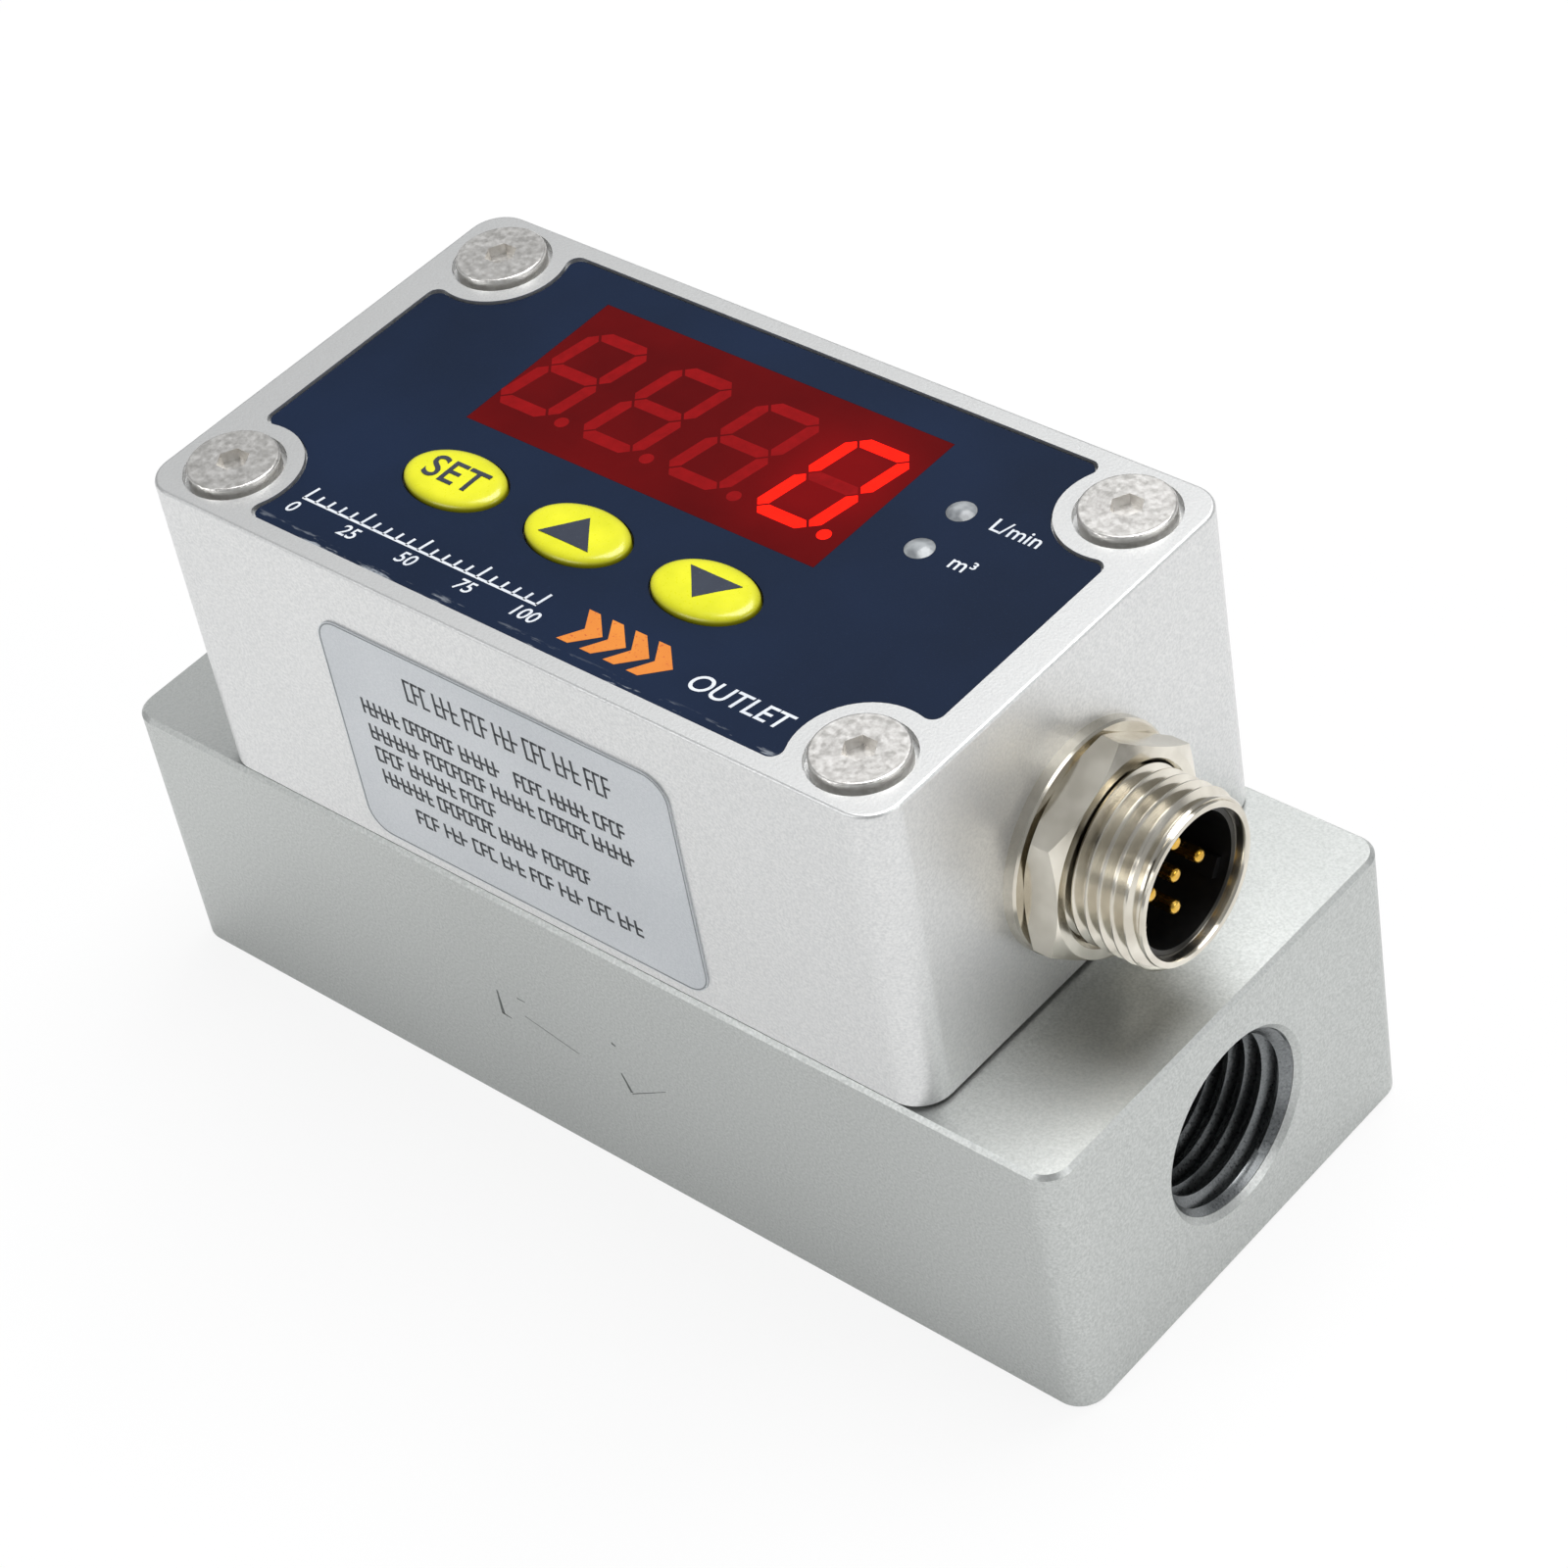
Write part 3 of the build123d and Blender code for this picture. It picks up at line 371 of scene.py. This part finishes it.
def skin(bm, rows, closed):
    """Faces between rows of points, and from the last row to the first if closed."""
    made = [[bm.verts.new(point) for point in row] for row in rows]
    pairs = list(zip(made, made[1:]))
    if closed:
        pairs.append((made[-1], made[0]))
    for first, second in pairs:
        for k in range(len(first) - 1):
            bm.faces.new((first[k], first[k + 1], second[k + 1], second[k]))
    return made


def prism(bm, outline, low, high, matrix=None):
    """A flat closed shape between two levels, from its outline's corners."""
    turn = matrix or Matrix.Identity(4)
    bottom = [bm.verts.new(turn @ Vector((x, y, low))) for x, y in outline]
    top = [bm.verts.new(turn @ Vector((x, y, high))) for x, y in outline]
    bm.faces.new(bottom[::-1])
    bm.faces.new(top)
    for k in range(len(outline)):
        n = (k + 1) % len(outline)
        bm.faces.new((bottom[k], bottom[n], top[n], top[k]))


def stroke_outline(start, end, width, end_width=None):
    """The four corners of a straight stroke."""
    start, end = Vector(start), Vector(end)
    side = (end - start).normalized().orthogonal() * 0.5
    first, last = side * width, side * (end_width or width)
    return [start - first, end - last, end + last, start + first]


def rounded_outline(x0, y0, x1, y1, radius, steps=8):
    """A rectangle's outline with round corners."""
    points = []
    corners = ((x1 - radius, y1 - radius), (x0 + radius, y1 - radius), (x0 + radius, y0 + radius),
               (x1 - radius, y0 + radius))
    for quarter, (cx, cy) in enumerate(corners):
        for k in range(steps + 1):
            angle = (quarter + k / steps) * math.pi / 2
            points.append((cx + radius * math.cos(angle), cy + radius * math.sin(angle)))
    return points


def facing_front(y):
    """Takes flat work to a wall that faces -Y, with its second axis up."""
    return Matrix.Translation((0, y, 0)) @ Matrix.Rotation(math.pi / 2, 4, "X")


# Threads

def ridge(share):
    """Height, 0 to 1, of a V thread at a share of one pitch."""
    share = share % 1.0
    root, crest = 0.1, 0.45
    if share > 0.5:
        share = 1.0 - share
    return min(max((share - root) / (crest - root), 0.0), 1.0)


def thread_rows(x0, x1, pitch, root_radius, crest_radius, limit, columns):
    """Rows of (x, radius) for each column round a helical thread between two stations."""
    steps = (0.0, 0.1, 0.275, 0.45, 0.55, 0.725, 0.9)
    turns = int((x1 - x0) / pitch) + 3
    rows = []
    for turn in range(-1, turns):
        for step in steps:
            row = []
            for k in range(columns + 1):
                x = x0 + (turn + step + k / columns) * pitch
                x = min(max(x, x0), x1)
                share = (x - x0) / pitch - k / columns
                radius = root_radius + (crest_radius - root_radius) * ridge(share)
                row.append((x, limit(x, radius)))
            rows.append(row)
    return rows


def around(rows, height, columns):
    """Points in space for rows of (x, radius) round an axis at a height."""
    made = []
    for row in rows:
        points = []
        for k, (x, radius) in enumerate(row):
            angle = FULL_TURN * k / columns
            points.append((x, radius * math.cos(angle), height + radius * math.sin(angle)))
        made.append(points)
    return made


def plain_rows(stations, columns):
    """Rows for a plain turned form, from its (x, radius) stations."""
    return [[(x, radius)] * (columns + 1) for x, radius in stations]


def connector_barrel():
    """Connector shell with its real M12 thread in front of the panel nut."""
    columns = 128
    pitch = 1.0 * MM
    crest, root = 5.98 * MM, 5.36 * MM
    bore, tail_bore = 4.95 * MM, 4.0 * MM
    shank, flange, cups = 5.74 * MM, 7.5 * MM, 4.8 * MM
    mouth = shell_high.x
    tail = shell_low.x
    flange_back, flange_front = tail + 7.0 * MM, tail + 8.5 * MM
    start, end = nut_high.x - 0.7 * MM, mouth - 0.25 * MM

    def limit(x, radius):
        """The chamfer at the mouth cuts the crests down."""
        return min(radius, crest - max(x - (mouth - 0.9 * MM), 0.0) * 0.55)

    behind = [
        (tail, tail_bore), (tail, cups), (flange_back, cups), (flange_back, flange),
        (flange_front, flange), (flange_front, shank), (start, shank), (start, root),
    ]
    rim = limit(end, crest)
    ahead = [
        (end, min(root, rim)), (end, rim - 0.12 * MM), (mouth - 0.06 * MM, rim - 0.16 * MM),
        (mouth, rim - 0.26 * MM), (mouth, bore + 0.22 * MM), (mouth - 0.06 * MM, bore + 0.1 * MM),
        (mouth - 0.3 * MM, bore), (flange_back, bore), (flange_back, tail_bore),
    ]
    rows = plain_rows(behind, columns)
    rows += thread_rows(start, end, pitch, root, crest, limit, columns)
    rows += plain_rows(ahead, columns)
    bm = bmesh.new()
    skin(bm, around(rows, connector_axis, columns), True)
    piece = finish_mesh("connector_barrel", bm, shell_metal, "meter")
    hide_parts("connector_shell")


def connector_lining():
    """Thin black sleeve that lines the shell's bore round the pins, from the insulator's face to near the
    mouth.
    """
    columns = 96
    outside, inside = 4.93 * MM, 4.58 * MM
    face, end = shell_high.x - 5.6 * MM, shell_high.x - 0.85 * MM
    rows = plain_rows([(face, outside), (end, outside), (end, inside), (face, inside)], columns)
    bm = bmesh.new()
    skin(bm, around(rows, connector_axis, columns), True)
    piece = finish_mesh("connector_lining", bm, insulator_plastic, "meter")


def port_thread(name, mouth, inward):
    """Cut thread inside a port, as a sleeve that lies against the bore."""
    columns = 128
    pitch = 1.337 * MM
    wall, root, crest = 6.6 * MM, 6.5 * MM, 5.75 * MM
    sleeve = 0.04 * MM
    depth = 10.6 * MM
    start = 0.42 * MM
    axis_height = 11.4 * MM

    def limit(x, radius):
        """The countersink at the mouth and the run-out at the end cut the ridges down."""
        lead = wall - (x - start) * 0.9
        tail = wall - (depth - x) * 1.2
        return max(radius, lead, tail)

    rows = thread_rows(start, depth, pitch, root, crest, limit, columns)
    rows += plain_rows([(depth, wall), (depth, wall + sleeve), (start, wall + sleeve)], columns)
    placed = [[(mouth + inward * x, radius) for x, radius in row] for row in rows]
    bm = bmesh.new()
    skin(bm, around(placed, axis_height, columns), True)
    piece = finish_mesh(name, bm, shaded_bore_metal, "meter")


# Keys

def oval(cx, cy, half_x, half_y, z, columns):
    """Points round a level oval, with the first one repeated at the end."""
    return [
        (cx + half_x * math.cos(FULL_TURN * k / columns), cy + half_y * math.sin(FULL_TURN * k / columns), z)
        for k in range(columns + 1)
    ]


def key_cap(name):
    """Oval cap with a crowned top and a soft edge, on its lip and stem."""
    low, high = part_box(name + "_key")
    columns = 96
    lip = 0.6 * MM
    stem = 1.5 * MM
    crown = 0.05 * MM
    edge, edge_tall = 0.85 * MM, 0.4 * MM
    tip = 1e-6
    cx, cy = (low.x + high.x) / 2, (low.y + high.y) / 2
    half_x, half_y = (high.x - low.x) / 2 - lip, (high.y - low.y) / 2 - lip
    top = high.z
    stem_bottom = low.z
    lip_bottom, lip_top = low.z + 0.3 * MM, low.z + 1.1 * MM

    def ring(grow, z):
        return oval(cx, cy, half_x + grow, half_y + grow, z, columns)

    def stem_ring(radius, z):
        return oval(cx, cy, radius, radius, z, columns)

    rows = [stem_ring(tip, stem_bottom), stem_ring(stem, stem_bottom), stem_ring(stem, lip_bottom)]
    rows += [ring(lip, lip_bottom), ring(lip, lip_top), ring(0, lip_top), ring(0, top - crown - edge_tall)]
    for k in range(1, 9):
        angle = k / 8 * math.pi / 2
        rows.append(ring(-edge * (1 - math.cos(angle)), top - crown - edge_tall * (1 - math.sin(angle))))
    for k in range(1, 13):
        share = k / 12
        shrink = edge + (half_y - edge) * share * 0.985
        rows.append(ring(-shrink, top - crown * (1 - share) ** 2))
    bm = bmesh.new()
    skin(bm, rows, False)
    bmesh.ops.remove_doubles(bm, verts=bm.verts, dist=merge_distance)
    bmesh.ops.holes_fill(bm, edges=[e for e in bm.edges if e.is_boundary])
    piece = finish_mesh(name + "_key_cap", bm, key_yellow, name + "_key", 50)
    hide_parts(name + "_key")
    return cx, cy, top


# Lettering and printed marks

def lettering(name, text, size_mm, x_mm, y_mm, top, material, body="meter", **options):
    """Flat lettering on a surface that faces up, in the built-in font."""
    curve = bpy.data.curves.new(name, "FONT")
    curve.body = text
    curve.size = size_mm * MM
    curve.align_x = options.get("align", "CENTER")
    curve.align_y = "CENTER"
    curve.shear = options.get("shear", 0.0)
    curve.space_character = options.get("spacing", 1.0)
    curve.offset = options.get("bold", 0.0) * MM
    curve.extrude = (print_rise + print_sink) / 2
    curve.resolution_u = 6
    text_object = bpy.data.objects.new(name, curve)
    bpy.context.scene.collection.objects.link(text_object)
    bpy.context.view_layer.update()
    shaped = text_object.evaluated_get(bpy.context.evaluated_depsgraph_get())
    mesh = bpy.data.meshes.new_from_object(shaped)
    bpy.data.objects.remove(text_object)
    bm = bmesh.new()
    bm.from_mesh(mesh)
    bpy.data.meshes.remove(mesh)
    lift = top + (print_rise - print_sink) / 2
    bm.transform(Matrix.Translation((x_mm * MM, y_mm * MM, lift)))
    finish_mesh(name, bm, material, body)


def panel_marks(name, outlines_mm, material, top):
    """Printed flat shapes on a surface that faces up."""
    bm = bmesh.new()
    for outline in outlines_mm:
        points = [(x * MM, y * MM) for x, y in outline]
        prism(bm, points, top - print_sink, top + print_rise)
    finish_mesh(name, bm, material, "meter")


def chevrons(count, x0_mm, y_mm, pitch_mm, half_mm, thick_mm, reach_mm):
    """Outlines of arrow-like marks that point along +X."""
    outlines = []
    for k in range(count):
        x = x0_mm + k * pitch_mm
        outlines.append([
            (x, y_mm + half_mm), (x + thick_mm * 0.75, y_mm + half_mm),
            (x + reach_mm + thick_mm, y_mm), (x + thick_mm * 0.75, y_mm - half_mm),
            (x, y_mm - half_mm), (x + reach_mm * 0.8, y_mm),
        ])
    return outlines


def triangle(cx, cy, half, height, direction):
    """A key's arrowhead outline about a middle, in metres."""
    return [
        (cx - half, cy - direction * height / 2), (cx + half, cy - direction * height / 2),
        (cx, cy + direction * height / 2),
    ]


def key_legends():
    """SET, up and down marks, set on the crowned caps."""
    places = {name: key_cap(name) for name in ("set", "up", "down")}
    cx, cy, top = places["set"]
    lettering(
        "set_key_word", "SET", 3.0, cx / MM, cy / MM, top + 0.01 * MM, key_ink, "set_key",
        bold=0.03, spacing=1.04,
    )
    for name, direction, tall in (("up", 1, 2.6), ("down", -1, 2.35)):
        cx, cy, top = places[name]
        bm = bmesh.new()
        outline = triangle(cx, cy, 2.15 * MM, tall * MM, direction)
        prism(bm, outline if direction > 0 else outline[::-1], top - 0.15 * MM, top + 0.008 * MM)
        finish_mesh(name + "_key_mark", bm, key_ink, name + "_key")


def panel_print():
    """What is printed on the film: a plain scale, direction marks and unit names."""
    top = film_high.z
    y = print_line_mm
    left, right = -20.6, 0.2
    steps = 20
    line = 0.2
    ticks = []
    for k in range(steps + 1):
        x = left + (right - left) * k / steps
        tall = 1.25 if k % 5 == 0 else 0.75
        ticks.append(stroke_outline((x, y), (x + tall * print_slant, y + tall), line))
    ticks.append(stroke_outline((left - line / 2, y), (right + line / 2, y), line))
    panel_marks("panel_scale", ticks, white_ink, top)
    for k in range(5):
        x = left + (right - left) * k / 4
        lettering(
            "panel_scale_number_%d" % k, str(k * 25), 1.5, x - 0.1, y - 1.05, top, white_ink,
            shear=print_slant, bold=0.015,
        )
    panel_marks("panel_chevrons", chevrons(4, 3.5, -12.85, 1.95, 1.55, 1.25, 1.25), orange_ink, top)
    lettering("panel_out", "OUTLET", 2.1, 17.2, -13.0, top, white_ink, shear=print_slant, bold=0.015)
    lens_width = 2.6 * MM
    lens_y = (lens_low.y + lens_high.y) / 2
    spacing = (lens_high.y - lens_low.y) - lens_width
    for name, text, side in (("unit_upper", "L/min", 1), ("unit_lower", "m³", -1)):
        level = (lens_y + side * spacing / 2) / MM
        lettering("panel_" + name, text, 1.75, 20.1, level, top, white_ink, align="LEFT", bold=0.01)


def label_print():
    """The label's thin outline."""
    wall = facing_front(label_low.y)
    x0, x1 = label_low.x, label_high.x
    z0, z1 = label_low.z, label_high.z
    inset, line, radius = 0.08 * MM, 0.1 * MM, 1.9 * MM
    outer = rounded_outline(x0 + inset, z0 + inset, x1 - inset, z1 - inset, radius)
    inner = rounded_outline(
        x0 + inset + line, z0 + inset + line, x1 - inset - line, z1 - inset - line, radius - line
    )
    bm = bmesh.new()
    levels = (-print_sink, print_rise)
    rows = []
    for outline, level in ((outer, levels[0]), (outer, levels[1]), (inner, levels[1]), (inner, levels[0])):
        rows.append([wall @ Vector((x, z, level)) for x, z in outline + outline[:1]])
    skin(bm, rows, True)
    piece = finish_mesh("label_outline", bm, grey_ink, "meter")


# Rows of print on the label, in mm: left end, height of the middle, word lengths, stroke height
label_rows_mm = (
    (-8.9, 38.6, (2.2,) * 7, 1.9),
    (-13.8, 35.1, (3.4, 4.6, 3.6), 1.35),
    (0.0, 35.1, (2.6, 3.4, 2.7), 1.35),
    (-13.7, 32.9, (4.6, 5.6, 3.8, 4.2, 3.6), 1.3),
    (-13.7, 30.9, (2.6, 4.3, 3.2), 1.3),
    (-13.6, 28.9, (4.6, 5.2, 3.4, 4.2), 1.3),
    (-11.2, 26.4, (2.15,) * 8, 1.3),
)


def label_strokes():
    """Rows of upright and level strokes, too small to read, like print seen from afar."""
    wall = facing_front(label_low.y)
    stroke_pitch, stroke_width, word_gap = 0.56, 0.2, 0.45
    bm = bmesh.new()
    for number, (left, height, words, tall) in enumerate(label_rows_mm):
        x = left
        for word, length in enumerate(words):
            strokes = max(int(length / stroke_pitch), 2)
            for k in range(strokes):
                step = length / strokes
                kind = (number * 5 + word * 3 + k * 2) % 4
                at = x + k * step
                bars = [((at, height - tall / 2), (at, height + tall / 2))]
                if kind in (0, 2):
                    bars.append(((at, height + tall * 0.45), (at + step * 0.75, height + tall * 0.45)))
                if kind in (1, 2, 3):
                    bars.append(((at, height), (at + step * 0.75, height)))
                if kind in (0, 3):
                    bars.append(((at, height - tall * 0.45), (at + step * 0.75, height - tall * 0.45)))
                for start, end in bars:
                    outline = [(px * MM, pz * MM) for px, pz in stroke_outline(start, end, stroke_width)]
                    prism(bm, outline, -print_sink, print_rise, wall)
            x += length + word_gap
    piece = finish_mesh("label_print", bm, label_ink, "meter")


def flow_arrow():
    """What is left of a worn engraved arrow on the body's front: short dark strokes."""
    wall = facing_front(base_low.y)
    strokes = [
        ((-7.73, 12.03), (-7.67, 9.78), 0.16, 0.3), ((-7.8, 9.8), (-6.9, 9.7), 0.14, 0.06),
        ((-5.76, 12.3), (-5.02, 12.29), 0.1, 0.05), ((-5.4, 10.76), (-0.56, 9.76), 0.06, 0.05),
        ((3.1, 12.92), (3.46, 12.76), 0.2, 0.14),
        ((3.37, 10.15), (3.99, 8.61), 0.12, 0.28), ((4.0, 8.5), (7.5, 10.67), 0.08, 0.05),
    ]
    bm = bmesh.new()
    for start, end, width, end_width in strokes:
        outline = stroke_outline(start, end, width, end_width)
        prism(bm, [(x * MM, z * MM) for x, z in outline], -print_sink, print_rise * 0.5, wall)
    piece = finish_mesh("flow_arrow_marks", bm, engraving, "meter")


# Finishes of the CAD nodes

def dress(material, *names):
    """Gives CAD nodes a finish."""
    for name in names:
        materials = nodes[name].data.materials
        materials.clear()
        materials.append(material)


# The body's aluminium is the cover's aluminium in a darker copy: painted shade, for the lower block that
# stands in less light than the cover.
shaded_body_metal = blasted_aluminium("aluminium body, bead blasted, painted shade", "#d3d5d3", "#b4b7b5", 0.44)
cover_metal = blasted_aluminium("aluminium cover, bead blasted", "#ebebea", "#d2d3d3", 0.42)
# The ports' thread is cut in the body's aluminium but given a much darker grey: painted shade inside the
# ports.
shaded_bore_metal = plain_metal("aluminium, cut thread, painted shade", "#6b6e70", "#8c8f90", 0.26, 6000, 0.001 * MM)
shell_metal = nickel_plate("nickel plate, shell", 0.14)
nut_metal = nickel_plate("nickel plate, nut", 0.16)
passage_steel = plain_metal("stainless steel, etched", "#8f9090", "#b3b3b2", 0.35)
screw_steel = plain_metal("steel, zinc plated", "#a8a9ab", "#c6c7c8", 0.3)
gold = plain_metal("gold plate", "#d7a437", "#f0c765", 0.2)
tin = plain_metal("tin plate", "#b5b5b3", "#d0d0cd", 0.3)
brass_nickel = plain_metal("brass, nickel plated", "#b9b19c", "#d2cbb9", 0.28)
can_metal = plain_metal("aluminium can, drawn", "#b8b9ba", "#d6d7d8", 0.3)
seal_rubber = moulded("nitrile rubber", "#0c0c0c", "#161616", 0.6)
black_plastic = moulded("nylon, black", "#0e0e0f", "#191919", 0.42)
insulator_plastic = moulded("insulator resin, black", "#090909", "#121212", 0.38)
epoxy = moulded("epoxy, black", "#111112", "#1c1c1d", 0.55)
white_plastic = moulded("nylon, white", "#d9d6c8", "#e8e5d9", 0.45)
nozzle_plastic = moulded("acetal, white", "#dededa", "#ecebe7", 0.4)
lamp_plastic = moulded("epoxy, clear white", "#cfcabb", "#e2decf", 0.3)
silicon = moulded("silicon die", "#2a3040", "#3a4258", 0.12)
lead_plastic = moulded("wire insulation, blue", "#1f3d86", "#2a4ea3", 0.4)
board_green = board_laminate()
film_navy = panel_polyester()
window_red = display_window()
# The unlit bars glow as well: painted light on bars that are no lamp.
bar_dark = display_bar("display bar, unlit", "#6e080b", "#7e080c", 0.72)
bar_lit = display_bar("display bar, lit", "#f0180a", "#f51206", 1.3)
key_yellow = key_plastic()
lens_clear = lens_plastic()
label_silver = printed_label()
white_ink = ink("ink, white", "#e4e8ee", "#b9c1cd")
orange_ink = ink("ink, orange", "#e58a26", "#c75a1c")
grey_ink = ink("ink, grey", "#7d8285", "#9b9fa1")
key_ink = ink("ink, dark navy", "#20283a", "#39414f")
label_ink = ink("ink, black on label", "#22252b", "#3f434a", worn=0.02)
engraving = ink("engraved line, dark", "#4a4e4c", "#8a8e8c", worn=0.08)

dress(shaded_body_metal, "base_block")
dress(cover_metal, "housing")
dress(turned_steel(), "housing_screws")
dress(nut_metal, "connector_nut", "connector_washer")
dress(shell_metal, "connector_shell")
dress(
    passage_steel, "inlet_screen", "outlet_screen", "inlet_retaining_ring", "outlet_retaining_ring",
    "flow_straightener",
)
dress(nozzle_plastic, "flow_nozzle")
dress(seal_rubber, "nozzle_o_rings", "sensor_o_ring", "housing_seal", "connector_gasket")
dress(black_plastic, "sensor_carrier", "sensor_header", "board_link", "key_switches", "display_module")
dress(silicon, "sensor_chip")
dress(board_green, "sensor_board", "main_board", "display_board")
dress(screw_steel, "sensor_board_screws", "main_board_screws", "display_board_screws")
dress(brass_nickel, "main_board_spacers")
dress(epoxy, "controller_chip", "voltage_regulator")
dress(can_metal, "capacitors")
dress(white_plastic, "lead_header")
dress(tin, "display_pins")
dress(window_red, "display_face")
dress(bar_dark, "display_segments")
dress(bar_lit, "display_segments_lit")
dress(lamp_plastic, "indicator_lamps")
dress(lens_clear, "indicator_lenses")
dress(film_navy, "panel_film")
dress(label_silver, "side_label")
dress(insulator_plastic, "connector_insulator")
dress(gold, "connector_pins")
dress(lead_plastic, "connector_leads")
dress(key_yellow, "set_key", "up_key", "down_key")
dress(epoxy, "set_key_plunger", "up_key_plunger", "down_key_plunger")

# Pieces
connector_barrel()
connector_lining()
port_thread("outlet_thread", base_high.x, -1)
port_thread("inlet_thread", base_low.x, 1)
key_legends()
panel_print()
label_print()
label_strokes()
flow_arrow()


# Studio

def staged_sheet(name, material, segments, half):
    """A flat square sheet that is part of the studio."""
    bm = bmesh.new()
    bmesh.ops.create_grid(bm, x_segments=segments, y_segments=segments, size=half)
    mesh = bpy.data.meshes.new(name)
    bm.to_mesh(mesh)
    bm.free()
    mesh.materials.append(material)
    sheet = bpy.data.objects.new(name, mesh)
    bpy.context.scene.collection.objects.link(sheet)
    return sheet


def floor():
    """Plain pale floor that reads white to the camera and keeps the object's shadow."""
    f = Finish("studio floor, pale")
    grain = f.noise(40, 2.0)
    tone = f.mix(f.spread(grain, 0.3, 0.7), colour("#eeeeee"), colour("#f2f2f2"))
    matt = f.add("BsdfDiffuse", Color=tone).outputs[0]
    white = f.add("Emission", Color=colour("#ffffff"), Strength=1.0).outputs[0]
    path = f.add("LightPath").outputs
    mirrored = f.maths("MAXIMUM", path["Is Glossy Ray"], path["Is Transmission Ray"])
    share = f.maths(
        "MAXIMUM", f.maths("MULTIPLY", path["Is Camera Ray"], floor_white_seen),
        f.maths("MULTIPLY", mirrored, floor_white_mirrored),
    )
    mixed = f.add("MixShader", share, matt, white).outputs[0]
    f.feed(f.add("OutputMaterial").inputs["Surface"], mixed)
    plane = staged_sheet("studio_floor", f.material, 4, 3.0)


def dark_card():
    """Dark card behind the camera, which gives the plated metal its dark bands."""
    f = Finish("card, black felt")
    pile = f.noise(900, 2.0)
    tone = f.mix(f.spread(pile, 0.3, 0.7), colour("#0b0b0c"), colour("#151516"))
    f.surface(Base_Color=tone, Roughness=f.spread(pile, 0.3, 0.7, 0.85, 0.95), Specular_IOR_Level=0.1)
    card = staged_sheet("dark_card", f.material, 2, 0.07)
    card.location = card_place
    card.rotation_euler = (object_middle - card_place).to_track_quat("Z", "Y").to_euler()


def softbox(name, place, size, watts):
    """A square area lamp that points at the object."""
    lamp = bpy.data.lights.new(name, "AREA")
    lamp.shape = "SQUARE"
    lamp.size = size
    lamp.energy = watts
    item = bpy.data.objects.new(name, lamp)
    item.location = place
    item.rotation_euler = (object_middle - Vector(place)).to_track_quat("-Z", "Y").to_euler()
    bpy.context.scene.collection.objects.link(item)


def studio():
    """Floor, card, three soft lamps and an even, pale surrounding."""
    floor()
    dark_card()
    softbox("key softbox", (0.02, 0.36, 0.95), 0.7, 8.8)
    softbox("front fill", (-0.3, -0.75, 0.5), 0.5, 1.9)
    softbox("side fill", (0.75, 0.15, 0.42), 0.4, 1.3)
    world = bpy.data.worlds.new("studio")
    world.use_nodes = True
    sky = world.node_tree.nodes["Background"]
    sky.inputs["Color"].default_value = colour("#f4f6f8")
    sky.inputs["Strength"].default_value = 0.37
    bpy.context.scene.world = world
    bpy.context.scene.view_settings.view_transform = "Standard"


def camera():
    """The photograph's viewpoint."""
    lens = bpy.data.cameras.new("camera")
    lens.angle = math.radians(camera_view_degrees)
    lens.clip_start = 0.01
    item = bpy.data.objects.new("camera", lens)
    item.location = [value * MM for value in camera_place_mm]
    item.rotation_euler = [math.radians(value) for value in camera_turn_degrees]
    bpy.context.scene.collection.objects.link(item)
    bpy.context.scene.camera = item


studio()
camera()
